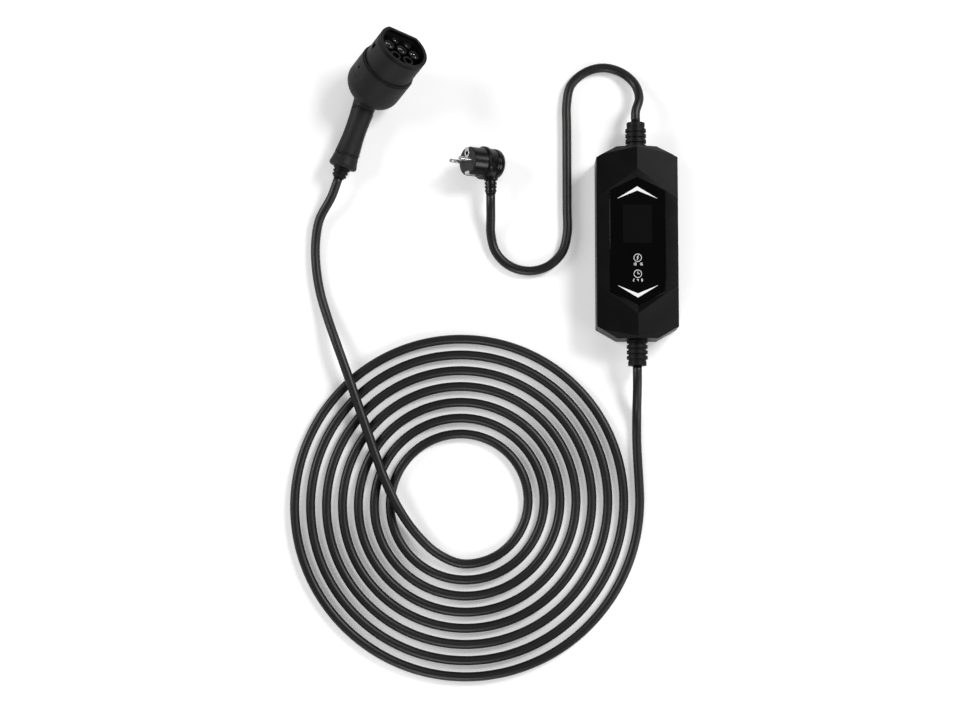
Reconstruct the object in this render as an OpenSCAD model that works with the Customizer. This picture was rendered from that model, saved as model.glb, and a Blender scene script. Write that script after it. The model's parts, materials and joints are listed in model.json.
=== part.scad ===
// Portable car charger: control box, car connector, mains plug and their two cords,
// laid out on a floor as it would be put down.
// Origin: middle of the back of the control box, which rests on the floor.
// X to the right, Y towards the mains side, Z up through the touch panel.

/* [Control box] */
// Width across the long sides
body_w = 97; // [92:1:108]
// Length between the two ends
body_l = 231; // [222:1:250]
// Height from the back to the ridge of the front
body_h = 50; // [48:1:58]
// Width of each flat end
end_w = 48; // [40:1:56]
// Length that each corner cut takes off a side
corner_l = 14; // [10:1:20]
// Thickness of the moulded walls
wall = 3; // [2.4:0.2:3.6]
// Height of the joint between the two shells, and of the cable axis
split_z = 25; // [24:0.5:27]
// Rise of the ridge over the flat middle
roof_rise = 5; // [3:0.5:7]
// Fall of the side strips beside the touch panel
strip_drop = 1.5; // [0.5:0.25:2.5]
// Half length of the flat middle at the sides
middle_side_y = 54; // [46:1:60]
// Half length of the flat middle at the centre line
middle_tip_y = 78; // [74:1:84]
// Run of the slanted wall at the tip of the middle
bevel_run = 9; // [6:0.5:12]
// Set-back of the end bevel at the ridge
end_bevel_tip = 2; // [1:0.5:4]
// Turn of each half of the end bevel
end_bevel_turn = 11; // [6:1:16]
// Slope of the end bevel
end_bevel_slope = 48; // [35:1:60]
// Radius of the four screw posts
post_r = 4.2; // [3.8:0.1:5]
// Distance of the screw posts from the middle, along the box
post_y = 90; // [84:1:96]
// Radius of the shell screws
screw_r = 1.5; // [1.2:0.1:1.8]
// Radius of the shell screw heads
screw_head_r = 2.8; // [2.4:0.1:3]
// Height of the shell screw heads
screw_head_h = 2; // [1.6:0.1:2.6]
// Size of the bevel round the back
back_bevel = 3; // [1:0.5:4]
// Width of the seal in the joint of the shells
gasket_w = 1.2; // [0.8:0.1:1.4]
// Height of the seal in the joint of the shells
gasket_h = 2; // [1.4:0.2:3]

/* [Touch panel] */
// Width of the gloss panel
panel_w = 66; // [60:1:70]
// Thickness of the gloss panel
panel_t = 2; // [1.2:0.2:2.4]
// Set-back of the panel tips from the tips of the flat middle
panel_set_back = 1; // [0.5:0.25:4]
// Thickness of the seat under the panel
seat_t = 2; // [1.4:0.2:2.6]
// Width of the display
display_w = 35; // [30:1:40]
// Height of the display
display_l = 46; // [40:1:50]
// Place of the display's middle along the box
display_y = 21; // [18:1:24]
// Thickness of the display module
display_t = 5; // [4:0.5:6]
// Place of the upper touch key along the box
key_y = -20; // [-22:1:-18]
// Distance between the two touch keys
key_step = 19; // [17:1:22]
// Radius of a touch spring
key_r = 4.6; // [4:0.2:5.5]

/* [Box strain reliefs] */
// Radius of the ribs
relief_r = 12.5; // [11.5:0.25:14]
// Depth of the grooves between the ribs
relief_groove = 2; // [1:0.25:3]
// Number of ribs
relief_ribs = 4; // [3:1:6]
// Length of the ribbed part
relief_l = 26; // [22:1:32]
// Radius of the plain end ring
relief_ring_r = 11; // [9:0.5:11.5]
// Length of the plain end ring
relief_ring_l = 5; // [3:0.5:7]
// Radius of the neck held by the shells
relief_neck_r = 9; // [8:0.25:10]
// Thickness of the flange inside the wall
relief_flange = 3; // [2:0.5:5]

/* [Inside the box] */
// Width of the control board
board_w = 80; // [74:1:84]
// Length of the control board
board_l = 164; // [156:1:168]
// Thickness of the control board
board_t = 1.6; // [1.2:0.2:2]
// Radius of the board's standoffs
standoff_r = 3; // [2.6:0.1:3.6]
// Radius of the small board screws
board_screw_r = 1.1; // [0.9:0.1:1.3]
// Height of the board over the inside of the back
board_up = 6; // [5:0.5:8]
// Width of a relay
relay_w = 16; // [12:1:18]
// Length of a relay
relay_l = 30; // [24:1:32]
// Room between the relays and the display's board
relay_room = 3.8; // [2:0.2:6]
// Width of the supply transformer
supply_w = 26; // [20:1:30]
// Length of the supply transformer
supply_l = 22; // [18:1:22]
// Height of the supply transformer
supply_h = 18; // [14:1:22]
// Width of a terminal block
terminal_w = 30; // [24:1:34]
// Length of a terminal block
terminal_l = 12; // [10:1:14]
// Height of a terminal block
terminal_h = 12; // [10:1:14]
// Radius of the current transformer ring
ring_r = 13; // [11:0.5:15]
// Radius of the hole in the current transformer
ring_hole_r = 6.5; // [5:0.5:7]
// Height of the current transformer
ring_h = 12; // [8:1:16]
// Radius of the filter capacitors
capacitor_r = 5; // [4:0.5:6]
// Height of the filter capacitors
capacitor_h = 16; // [12:1:20]
// Length of the fuse
fuse_l = 20; // [18:1:24]
// Radius of the fuse
fuse_r = 2.6; // [2.2:0.1:3]
// Radius of an insulated lead
lead_r = 1.9; // [1.5:0.1:2.2]

/* [Connector head] */
// Radius of the nose
nose_r = 32; // [31:0.25:33]
// Distance of the nose's flat side from its axis
nose_flat = 26; // [25:0.25:28]
// Length of the nose in front of the head
nose_l = 37; // [34:0.5:40]
// Thickness of the nose's wall
nose_wall = 4; // [3.4:0.1:4.4]
// Thickness of the insert at the bottom of the nose
insert_t = 9; // [7:0.5:11]
// Radius of the head behind the nose
head_r = 34.5; // [34:0.25:37]
// Length of the head's round part in front of the bend
head_l = 43; // [40:0.5:46]
// Where the head's round part starts to close, from the bend
head_dome = 12; // [10:0.5:15]
// Depth of the rounded rear of the head
dome_l = 26; // [23:0.5:28]
// Thickness of the head's and handle's walls
grip_wall = 3; // [2.4:0.1:3.4]
// Depth of the seal groove between nose and head
seal_depth = 1.6; // [1:0.1:2.4]
// Width of the seal
seal_w = 3; // [2:0.25:4]
// Side of the square lock hole in the nose
lock_side = 7; // [6:0.5:8]
// Distance of the lock hole from the head's front edge
lock_from_head = 21; // [17:0.5:24]
// Side of the square drain hole in the head
drain_side = 3; // [2:0.25:4]

/* [Contacts] */
// Radius of a power tower
tower_r = 6.7; // [6.3:0.05:6.9]
// Radius of a power contact
contact_r = 4.3; // [4:0.05:4.8]
// Radius of the bore of a power contact
contact_bore_r = 3; // [2.8:0.05:3.2]
// Depth of the bore of a power contact
contact_bore_l = 21; // [18:0.5:21]
// Radius of a signal tower
signal_tower_r = 4.5; // [4:0.05:4.9]
// Radius of a signal contact
signal_r = 2.5; // [2.2:0.05:2.8]
// Radius of the bore of a signal contact
signal_bore_r = 1.5; // [1.3:0.05:1.7]
// Depth of the bore of a signal contact
signal_bore_l = 16; // [12:0.5:20]
// Set-back of the towers from the rim of the nose
tower_set_back = 5; // [3:0.5:7]
// Set-back of the contacts from the ends of the towers
contact_set_back = 1.5; // [1:0.25:3]
// Distance between neighbouring contacts of the middle row
row_step = 17; // [16.5:0.1:17.5]
// Half distance between the two towers of the lower row
lower_half = 8.5; // [8:0.1:9]
// Distance of the lower row from the middle row
lower_drop = 14.4; // [14:0.1:15]
// Half distance between the two signal contacts
signal_half = 8.2; // [7.5:0.1:9]
// Distance of the signal contacts from the middle row
signal_rise = 11.9; // [11.7:0.1:12.5]

/* [Connector handle] */
// Angle between the handle and the head
bend_angle = 46; // [40:1:50]
// Distance of the joint line at the neck from the bend
neck_from_bend = 24; // [22:0.5:27]
// Radius at the neck
neck_r = 14; // [13.5:0.25:15]
// Radius at the waist of the handle
waist_r = 12.8; // [12.2:0.2:13.6]
// Radius where the end cap starts
cap_start_r = 15.2; // [14.5:0.1:16]
// Radius of the end cap's rim
cap_r = 17.2; // [16.2:0.2:18.5]
// Distance of the end cap's start from the bend
cap_from_bend = 84; // [80:1:92]
// Length of the end cap
cap_l = 15; // [12:0.5:18]
// Thickness of the soft grip pad
pad_t = 1.6; // [1.2:0.1:1.8]
// Half of the angle that the grip pad covers
pad_half_angle = 90; // [70:5:105]
// Number of grip ribs
rib_count = 22; // [14:1:24]
// Height of a grip rib
rib_h = 0.9; // [0.5:0.1:1.2]
// Radius of the connector's cable gland
gun_gland_r = 10; // [8.5:0.25:11]
// Length of the connector's cable gland
gun_gland_l = 13; // [10:0.5:16]

/* [Mains plug] */
// Radius of the plug's front
plug_r = 17.4; // [16.8:0.1:18.4]
// Radius of the plug's shoulder
plug_shoulder_r = 20; // [19:0.25:21]
// Radius of the plug's rear
plug_rear_r = 18.4; // [17.5:0.1:18.8]
// Depth of the plug from its face to its back
plug_l = 46; // [42:1:50]
// Depth of the plug's front part, up to the shoulder
plug_front_l = 19; // [17:0.5:21]
// Distance of the earth sides from the plug's axis
earth_flat = 15.4; // [14.8:0.1:16]
// Radius of a pin
pin_r = 2.4; // [2.3:0.05:2.5]
// Length of a pin in front of the face
pin_l = 19; // [18:0.25:20]
// Distance between the two pins
pin_step = 19; // [18.6:0.1:19.4]
// Radius of the earth hole
earth_hole_r = 2.6; // [2.4:0.05:2.8]
// Distance of the earth hole from the pin line
earth_hole_y = 9.5; // [9:0.1:10]
// Depth of the earth hole
earth_hole_l = 16; // [13:0.5:18]
// Radius of the boot's rings
boot_r = 7.4; // [6.8:0.2:8.4]
// Length of the boot under the plug's body
boot_l = 18; // [15:0.5:22]

/* [Cords] */
// Diameter of both cords
cord_d = 11; // [10:0.25:11.5]
// Number of turns in the coil
coil_turns = 7; // [5:1:8]
// Run of the charging cord between the control box and the coil
lead_run = 85; // [70:1:110]
// Distance between neighbouring turns of the coil
coil_pitch = 22; // [18:1:23]
// Radius of the outermost turn, at the middle of the cord
coil_r = 210; // [200:1:220]

/* [Fits] */
// Gap between parts that slide into each other
slide_gap = 0.1; // [0.05:0.05:0.2]
// Gap round a part that drops into a recess
drop_gap = 0.3; // [0.2:0.05:0.5]

/* [Hidden] */
$fn = 64;

// Colours
black_plastic = "#17181a";
gloss_black = "#050506";
soft_black = "#1d1e20";
grey_plastic = "#2b2c2e";
cord_black = "#101112";
metal = "#c9cacb";
brass = "#c8a45a";
board_green = "#1f5a3a";
copper = "#b5703c";

// Control box, derived
flat_z = body_h - roof_rise;
side_z = flat_z - strip_drop;
roof_slope = atan((body_h - side_z) / (body_w / 2));
middle_turn = atan((middle_tip_y - middle_side_y) / (body_w / 2));
middle_slope = atan(roof_rise / (bevel_run * cos(middle_turn)));
strip_x = panel_w / 2 + 2 * drop_gap;
strip_slope = atan(strip_drop / (body_w / 2 - strip_x));
corner_w = (body_w - end_w) / 2;
air = body_l;
post_x = body_w / 2 - wall - post_r + wall / 6;
panel_bottom = flat_z - panel_t;
seat_bottom = panel_bottom - seat_t;
display_board_z = panel_bottom - display_t;
display_board_t = board_t;
display_board_w = panel_w - 12;
display_board_top = display_y + display_l / 2 + 6;
display_board_bottom = key_y - key_step - key_r - 6;
display_post_x = display_board_w / 2 - standoff_r;
display_post_ys = [display_board_bottom + standoff_r, display_board_top - standoff_r];
board_bottom = wall + board_up;
board_top = board_bottom + board_t;
board_screw_x = board_w / 2 - standoff_r - 1;
board_screw_y = board_l / 2 - standoff_r - 1;
pilot_l = 12;
flange_r = relief_neck_r + 3;
corner_bevel = 0.8 * back_bevel;
flange_y = body_l / 2 - wall - slide_gap - relief_flange;
relief_end = slide_gap + relief_l + relief_ring_l;
terminal_y = board_l / 2 - terminal_l / 2 - 3;
lead_z = board_top + terminal_h / 2;
lead_step = 5.5;
relay_h = display_board_z - display_board_t - relay_room - board_top;
relay_y = 8;
relay_apart = 8;
ring_y = -34;
supply_at = [-2, 46];
capacitor_y = 32;
fuse_y = 48;
fuse_glass_r = 0.85 * fuse_r;

// Corner points of the box's outline, drawn in by an inset, counter-clockwise
function octagon_points(inset) =
    let (
        n = [corner_l, corner_w] / norm([corner_l, corner_w]),
        c = n * [end_w / 2, body_l / 2] - inset,
        a = body_w / 2 - inset,
        b = body_l / 2 - inset,
        x = (c - n.y * b) / n.x,
        y = (c - n.x * a) / n.y
    )
    [[a, -y], [a, y], [x, b], [-x, b], [-a, y], [-a, -y], [-x, -b], [x, -b]];

// Everything over a plane through p. The plane's level line points along heading and drops by
// fall, and the plane rises by slope to the left of that line.
module air_above(p, heading, slope, fall = 0) {
    translate(p)
        rotate([0, 0, heading])
            rotate([0, fall, 0])
                rotate([slope, 0, 0])
                    translate([-air, -air, 0])
                        cube([2 * air, 2 * air, air]);
}

// Air over the two roof slopes, which meet in the ridge
module roof_air() {
    air_above([0, 0, body_h], 90, roof_slope);
    air_above([0, 0, body_h], -90, roof_slope);
}

// Air over the two slanted bevels at each end
module end_air() {
    for (turn = [0, 180], side = [-1, 1])
        rotate([0, 0, turn])
            air_above([0, body_l / 2 - end_bevel_tip, body_h], -side * end_bevel_turn,
                -end_bevel_slope, side * roof_slope);
}

// Air over the flat middle, its side strips and its slanted chevron walls
module middle_air() {
    intersection() {
        union() {
            translate([-air, -air, flat_z])
                cube([2 * air, 2 * air, air]);
            air_above([strip_x, 0, flat_z], 90, strip_slope);
            air_above([-strip_x, 0, flat_z], -90, strip_slope);
        }
        chevron_walls();
    }
}

// Space between the four chevron walls of the middle
module chevron_walls() {
    intersection_for(turn = [0, 180])
        rotate([0, 0, turn])
            intersection_for(side = [-1, 1])
                air_above([0, middle_tip_y, flat_z], side * middle_turn, middle_slope);
}

// Outer form of the box, drawn in by an inset on every face
module box_form(inset) {
    difference() {
        translate([0, 0, inset])
            linear_extrude(body_h - 2 * inset)
                polygon(octagon_points(inset));
        translate([0, 0, -inset]) {
            roof_air();
            end_air();
            middle_air();
        }
    }
}

// The part of its children over or under the joint of the shells
module keep_half(upper) {
    intersection() {
        children();
        translate([-air, -air, upper ? split_z : split_z - air])
            cube([2 * air, 2 * air, air]);
    }
}

// Touch panel's outline, grown by a margin
module panel_outline(margin) {
    half = panel_w / 2 + margin;
    tip = middle_tip_y - panel_set_back + margin / cos(middle_turn);
    side = tip - half * tan(middle_turn);
    polygon([[half, -side], [half, side], [0, tip], [-half, side], [-half, -side], [0, -tip]]);
}

// Seal's path in the joint of the shells, grown by a gap, open where the cables pass
module seal_ring(height, gap) {
    difference() {
        translate([0, 0, split_z - height / 2])
            linear_extrude(height)
                difference() {
                    polygon(octagon_points((wall - gasket_w) / 2 - gap));
                    polygon(octagon_points((wall + gasket_w) / 2 + gap));
                }
        cube([2 * (flange_r - gap), 2 * body_l, 2 * body_h], center = true);
    }
}

// Hole through both end walls for the necks of the strain reliefs
module neck_hole() {
    translate([0, 0, split_z])
        rotate([90, 0, 0])
            cylinder(r = relief_neck_r + slide_gap, h = 2 * body_l, center = true);
}

module at_posts() {
    for (x = [-post_x, post_x], y = [-post_y, post_y])
        translate([x, y, 0])
            children();
}

module at_board_screws() {
    for (x = [-board_screw_x, board_screw_x], y = [-board_screw_y, board_screw_y])
        translate([x, y, 0])
            children();
}

module upper_shell() {
    color(black_plastic)
        difference() {
            keep_half(true)
                intersection() {
                    box_form(0);
                    union() {
                        difference() {
                            box_form(0);
                            box_form(wall);
                        }
                        at_posts()
                            cylinder(r = post_r, h = body_h);
                        translate([0, 0, seat_bottom])
                            linear_extrude(seat_t + panel_t)
                                panel_outline(seat_t);
                        for (x = [-display_post_x, display_post_x], y = display_post_ys)
                            translate([x, y, display_board_z])
                                cylinder(r = standoff_r, h = display_t);
                    }
                }
            translate([0, 0, panel_bottom])
                linear_extrude(body_h)
                    panel_outline(drop_gap);
            translate([0, display_y, panel_bottom])
                cube([display_w + 2 * drop_gap, display_l + 2 * drop_gap, 4 * seat_t], center = true);
            for (i = [0, 1])
                translate([0, key_y - i * key_step, seat_bottom - seat_t])
                    cylinder(r = key_r + drop_gap, h = 4 * seat_t);
            at_posts()
                translate([0, 0, split_z - 1])
                    cylinder(r = screw_r, h = pilot_l + 1);
            neck_hole();
            seal_ring(gasket_h + 2 * slide_gap, slide_gap);
        }
}

// Bevel all round the back, one slanted cut along each edge of the outline
module back_bevels() {
    corners = octagon_points(0);
    for (i = [0 : len(corners) - 1]) {
        p = corners[i];
        q = corners[(i + 1) % len(corners)];
        along_cut = p.x != q.x && p.y != q.y;
        translate([p.x, p.y, along_cut ? corner_bevel : back_bevel])
            rotate([0, 0, atan2(q.y - p.y, q.x - p.x)])
                rotate([-45, 0, 0])
                    translate([-air, -air, -air])
                        cube([2 * air, 2 * air, air]);
    }
}

module lower_shell() {
    color(black_plastic)
        difference() {
            union() {
                keep_half(false)
                    difference() {
                        box_form(0);
                        box_form(wall);
                    }
                at_posts()
                    translate([0, 0, wall / 2])
                        cylinder(r = post_r, h = split_z - wall / 2);
                at_board_screws()
                    translate([0, 0, wall / 2])
                        cylinder(r = standoff_r, h = board_bottom - wall / 2);
            }
            back_bevels();
            at_posts() {
                translate([0, 0, -1])
                    cylinder(r = screw_r + slide_gap, h = split_z + 2);
                translate([0, 0, -1])
                    cylinder(r = screw_head_r + drop_gap, h = screw_head_h + wall + 1);
            }
            at_board_screws()
                translate([0, 0, wall])
                    cylinder(r = board_screw_r, h = board_up + 1);
            neck_hole();
            seal_ring(gasket_h + 2 * slide_gap, slide_gap);
        }
}

module shell_seal() {
    color(soft_black)
        seal_ring(gasket_h, 0);
}

module touch_panel() {
    color(gloss_black)
        translate([0, 0, panel_bottom])
            linear_extrude(panel_t)
                panel_outline(0);
}

// Display on its small board, which hangs from posts under the panel's seat
module display_module() {
    color(board_green)
        translate([-display_board_w / 2, display_board_bottom, display_board_z - display_board_t])
            cube([display_board_w, display_board_top - display_board_bottom, display_board_t]);
    color(grey_plastic)
        translate([-display_w / 2, display_y - display_l / 2, display_board_z])
            cube([display_w, display_l, display_t]);
}

// Hollow touch springs between the display's board and the panel
module touch_springs() {
    color(metal)
        for (i = [0, 1])
            translate([0, key_y - i * key_step, display_board_z])
                difference() {
                    cylinder(r = key_r, h = display_t);
                    translate([0, 0, -1])
                        cylinder(r = key_r - 1, h = display_t + 2);
                }
}

module control_board() {
    color(board_green)
        difference() {
            translate([-board_w / 2, -board_l / 2, board_bottom])
                cube([board_w, board_l, board_t]);
            at_board_screws()
                cylinder(r = board_screw_r + slide_gap, h = body_h);
        }
}

module board_screws() {
    color(metal)
        at_board_screws() {
            translate([0, 0, wall + slide_gap])
                cylinder(r = board_screw_r - slide_gap / 2, h = board_top - wall - slide_gap);
            translate([0, 0, board_top])
                cylinder(r = 2 * board_screw_r, h = 1.6 * board_screw_r);
        }
}

module shell_screws() {
    color(metal)
        at_posts() {
            translate([0, 0, wall])
                cylinder(r = screw_head_r, h = screw_head_h);
            translate([0, 0, wall])
                cylinder(r = screw_r - slide_gap / 2, h = split_z + pilot_l - wall - 1);
        }
}

module power_relays() {
    color(grey_plastic)
        for (x = [-1, 1])
            translate([x * (relay_w + relay_apart) / 2 - relay_w / 2, relay_y - relay_l / 2, board_top])
                cube([relay_w, relay_l, relay_h]);
}

// Ring-shaped transformer that senses leakage current
module current_transformer() {
    color(soft_black)
        translate([0, ring_y, board_top])
            difference() {
                cylinder(r = ring_r, h = ring_h);
                translate([0, 0, -1])
                    cylinder(r = ring_hole_r, h = ring_h + 2);
            }
}

module supply_transformer() {
    color(brass)
        translate([supply_at.x - supply_w / 2, supply_at.y - supply_l / 2, board_top])
            cube([supply_w, supply_l, supply_h]);
}

module filter_capacitors() {
    color(grey_plastic)
        for (i = [0 : 2])
            translate([board_w / 2 - 2.4 * capacitor_r, capacitor_y + i * 2.8 * capacitor_r, board_top])
                cylinder(r = capacitor_r, h = capacitor_h);
}

// Fuse with its two end caps, lying on the board
module fuse() {
    color(metal)
        translate([-board_w / 2 + 4 * fuse_r, fuse_y, board_top + fuse_r])
            rotate([90, 0, 0])
                rotate_extrude()
                    polygon([
                        [0, -fuse_l / 2], [fuse_r, -fuse_l / 2], [fuse_r, -fuse_l / 4],
                        [fuse_glass_r, -fuse_l / 4], [fuse_glass_r, fuse_l / 4],
                        [fuse_r, fuse_l / 4], [fuse_r, fuse_l / 2], [0, fuse_l / 2]
                    ]);
}

// Terminal block with a screw well over each lead
module terminal() {
    difference() {
        translate([-terminal_w / 2, terminal_y - terminal_l / 2, board_top])
            cube([terminal_w, terminal_l, terminal_h]);
        for (i = [-1 : 1])
            translate([i * lead_step, terminal_y, board_top + terminal_h / 2 + lead_r])
                cylinder(r = lead_r, h = terminal_h);
    }
}

// Three leads from a strain relief's flange to the terminal block
module leads() {
    for (i = [-1 : 1])
        translate([i * lead_step, terminal_y + terminal_l / 2, lead_z])
            rotate([-90, 0, 0])
                cylinder(r = lead_r, h = flange_y - terminal_y - terminal_l / 2);
}

module mains_terminal() {
    color(grey_plastic)
        terminal();
}

module output_terminal() {
    color(grey_plastic)
        rotate([0, 0, 180])
            terminal();
}

module mains_leads() {
    color(copper)
        leads();
}

module output_leads() {
    color(copper)
        rotate([0, 0, 180])
            leads();
}

// Ribbed strain relief, revolved about the cable, with a neck that the shells grip
module relief() {
    pitch = relief_l / relief_ribs;
    rib = 0.6 * pitch;
    low_r = relief_r - relief_groove;
    ribs = [
        for (i = [0 : relief_ribs - 1])
            let (z = slide_gap + i * pitch)
            each [[relief_r, z], [relief_r, z + rib], [low_r, z + rib], [low_r, z + pitch]]
    ];
    translate([0, body_l / 2, split_z])
        rotate([-90, 0, 0])
            rotate_extrude()
                polygon(concat(
                    [
                        [0, -wall - slide_gap - relief_flange],
                        [flange_r, -wall - slide_gap - relief_flange],
                        [flange_r, -wall - slide_gap],
                        [relief_neck_r, -wall - slide_gap],
                        [relief_neck_r, slide_gap]
                    ],
                    ribs,
                    [
                        [relief_ring_r, slide_gap + relief_l],
                        [relief_ring_r, relief_end],
                        [0, relief_end]
                    ]
                ));
}

module mains_relief() {
    color(soft_black)
        relief();
}

module charge_relief() {
    color(soft_black)
        rotate([0, 0, 180])
            relief();
}

// Car connector, derived. Its own frame has the bend at the origin, the handle along -Z and the
// head turned by the bend angle about Y. The connector lies on its head and its end cap.
gun_bend = [-320, 187, 23.15];
gun_heading = 19.5;
gun_slope = 3.5;
gun_roll = 62;
handle_dir = [sin(gun_heading) * cos(gun_slope), cos(gun_heading) * cos(gun_slope), sin(gun_slope)];
nose_start = head_l + seal_w;
rim = head_l + nose_l;
spigot_r = head_r - grip_wall - drop_gap;
spigot_l = 8;
corner_round = 5;
lip_l = 3.6;
lip_groove = 1;
lip_depth = 0.6;
insert_front = head_l + insert_t;
tower_end = rim - tower_set_back;
contact_end = tower_end - contact_set_back;
contact_rear = head_l - 6;
plate_t = 1.2;
plate_rear = -4;
plate_front = 22;
plate_start_angle = -100;
plate_angle = 48;
drain_angle = -78;
drain_s = 32;
neck_bore_r = neck_r - grip_wall;
cap_end = cap_from_bend + cap_l;
gun_end = cap_end + gun_gland_l;
cap_bore_r = 7;
waist_at = 0.42;
handle_steps = 12;
conductor_r = 1.2;
gather_share = 0.2;
stub_l = 6;
gather_l = 18;
core_r = cord_d / 2 - 1;
pad_from = 0.03;
pad_clear = 0.014;
pad_edge = 3.2;
joint_groove = 0.8;
neck_flare = 6;
rib_from = 0.05;
rib_from_angle = 30;
rib_to_angle = 86;
rib_sink = 0.4;
rib_root = 1.1;

power_places = [[0, -row_step], [0, 0], [0, row_step]];
lower_places = [[lower_drop, -lower_half], [lower_drop, lower_half]];
signal_places = [[-signal_rise, -signal_half], [-signal_rise, signal_half]];

// Point on the handle's axis, at a distance from the bend towards the cable
function gun_point(distance) = gun_bend - distance * handle_dir;

// Radius of the handle, from 0 at the neck over the waist to 1 at the end cap
function handle_r(t) =
    t < waist_at
    ? waist_r + (neck_r - waist_r) * pow((waist_at - t) / waist_at, 2)
    : waist_r + (cap_start_r - waist_r) * pow((t - waist_at) / (1 - waist_at), 2);

// Share of the handle's length that a joint groove takes
joint_share = joint_groove / (cap_from_bend - neck_from_bend);

// Height of the same place on the handle's axis
function handle_z(t) = -neck_from_bend - t * (cap_from_bend - neck_from_bend);

// Handle's outline between two places, drawn in by an inset
function handle_side(from, to, inset) = [
    for (i = [0 : handle_steps])
        let (t = from + (to - from) * i / handle_steps)
        [handle_r(t) - inset, handle_z(t)]
];

// Radius of the head at a height on its axis, with a rounded rear
function head_radius(s) =
    s > head_dome
    ? head_r
    : head_r * sqrt(max(0, 1 - pow((head_dome - s) / dome_l, 2)));

module on_gun() {
    translate(gun_bend)
        rotate([0, 0, -gun_heading])
            rotate([gun_slope - 90, 0, 0])
                rotate([0, 0, -gun_roll])
                    children();
}

module on_head() {
    on_gun()
        rotate([0, bend_angle, 0])
            children();
}

// Round outline with one flat side, as on the nose and its recess. Two cuts that touch a circle
// of the rounding's radius take off each corner.
module d_outline(r, flat) {
    x = flat - corner_round;
    y = sqrt(pow(r - corner_round, 2) - x * x);
    turn = atan2(y, x);
    intersection() {
        circle(r = r);
        translate([-flat, -r])
            square([flat + r, 2 * r]);
        intersection_for(side = [-1, 1], share = [0.25, 0.75])
            rotate([0, 0, side * share * turn])
                translate([-x * cos(share * turn) - y * sin(share * turn) - corner_round, -2 * r])
                    square([4 * r, 4 * r]);
    }
}

// D-shaped nose round the contacts, with a round spigot that sits in the head
module nose_sleeve() {
    color(black_plastic)
        on_head()
            difference() {
                union() {
                    translate([0, 0, nose_start])
                        linear_extrude(nose_l - seal_w)
                            d_outline(nose_r, nose_flat);
                    translate([0, 0, head_l - spigot_l])
                        cylinder(r = spigot_r, h = spigot_l + seal_w);
                }
                translate([0, 0, head_l - spigot_l - 1])
                    linear_extrude(spigot_l + nose_l + 2)
                        d_outline(nose_r - nose_wall, nose_flat - nose_wall);
                translate([0, -nose_r, head_l + lock_from_head])
                    cube([lock_side, 3 * nose_wall, lock_side], center = true);
                translate([0, 0, rim - lip_l - lip_groove])
                    linear_extrude(lip_groove)
                        difference() {
                            circle(r = 2 * nose_r);
                            d_outline(nose_r - lip_depth, nose_flat - lip_depth);
                        }
            }
}

module nose_seal() {
    color(soft_black)
        on_head()
            translate([0, 0, head_l])
                difference() {
                    cylinder(r = head_r - seal_depth / 2, h = seal_w);
                    translate([0, 0, -1])
                        cylinder(r = spigot_r + slide_gap, h = seal_w + 2);
                }
}

// Insulating plate at the bottom of the recess, which carries the towers
module contact_insert() {
    color(black_plastic)
        on_head()
            difference() {
                translate([0, 0, head_l])
                    linear_extrude(insert_t)
                        d_outline(nose_r - nose_wall - slide_gap, nose_flat - nose_wall - slide_gap);
                for (p = power_places)
                    translate([p.x, p.y, head_l - 1])
                        cylinder(r = contact_r + slide_gap, h = insert_t + 2);
                for (p = signal_places)
                    translate([p.x, p.y, head_l - 1])
                        cylinder(r = signal_r + slide_gap, h = insert_t + 2);
            }
}

// Insulating tower with a hole for its contact
module tower(p, r, hole_r) {
    translate([p.x, p.y, insert_front])
        difference() {
            cylinder(r = r, h = tower_end - insert_front);
            translate([0, 0, -1])
                cylinder(r = hole_r, h = tower_end - insert_front + 2);
        }
}

module power_towers() {
    color(grey_plastic)
        on_head()
            for (p = concat(power_places, lower_places))
                tower(p, tower_r, contact_r + slide_gap);
}

module signal_towers() {
    color(grey_plastic)
        on_head()
            for (p = signal_places)
                tower(p, signal_tower_r, signal_r + slide_gap);
}

// Turned contact with a bore open to the front
module contact(p, r, bore_r, bore_l) {
    translate([p.x, p.y, 0])
        difference() {
            translate([0, 0, contact_rear])
                cylinder(r = r, h = contact_end - contact_rear);
            translate([0, 0, contact_end - bore_l])
                cylinder(r = bore_r, h = bore_l + 1);
        }
}

module power_contacts() {
    color(metal)
        on_head()
            for (p = power_places)
                contact(p, contact_r, contact_bore_r, contact_bore_l);
}

module signal_contacts() {
    color(metal)
        on_head()
            for (p = signal_places)
                contact(p, signal_r, signal_bore_r, signal_bore_l);
}

// Head and neck as one solid, drawn in by an inset: a dome-backed cylinder that
// a flared neck runs into
module head_form(inset) {
    dome = [
        for (i = [0 : 14])
            let (a = 90 * i / 14)
            [(head_r - inset) * sin(a), head_dome - (dome_l - inset) * cos(a)]
    ];
    flare = [
        for (i = [1 : 8])
            let (t = i / 8)
            [neck_r - inset + neck_flare * pow(t, 2.4), -neck_from_bend + neck_from_bend * t]
    ];
    neck = [
        [neck_r - inset - (inset > 0 ? 0 : joint_groove), -neck_from_bend],
        [neck_r - inset, -neck_from_bend + joint_groove]
    ];
    rotate([0, bend_angle, 0])
        rotate_extrude()
            polygon(concat(dome, [[head_r - inset, head_l], [0, head_l]]));
    rotate_extrude()
        polygon(concat([[0, -neck_from_bend]], neck, flare, [[0, 0]]));
}

// Side plate's section, from the head's surface down to a depth
module plate_sector(depth, gap) {
    steps = 8;
    from = plate_rear - gap;
    to = plate_front + gap;
    places = [for (i = [0 : steps]) from + (to - from) * i / steps];
    rotate([0, 0, plate_start_angle - gap])
        rotate_extrude(angle = plate_angle + 2 * gap)
            polygon(concat(
                [for (s = places) [head_radius(s) - depth, s]],
                [for (i = [0 : steps]) let (s = places[steps - i]) [head_radius(s) + 2 * gap, s]]
            ));
}

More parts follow.
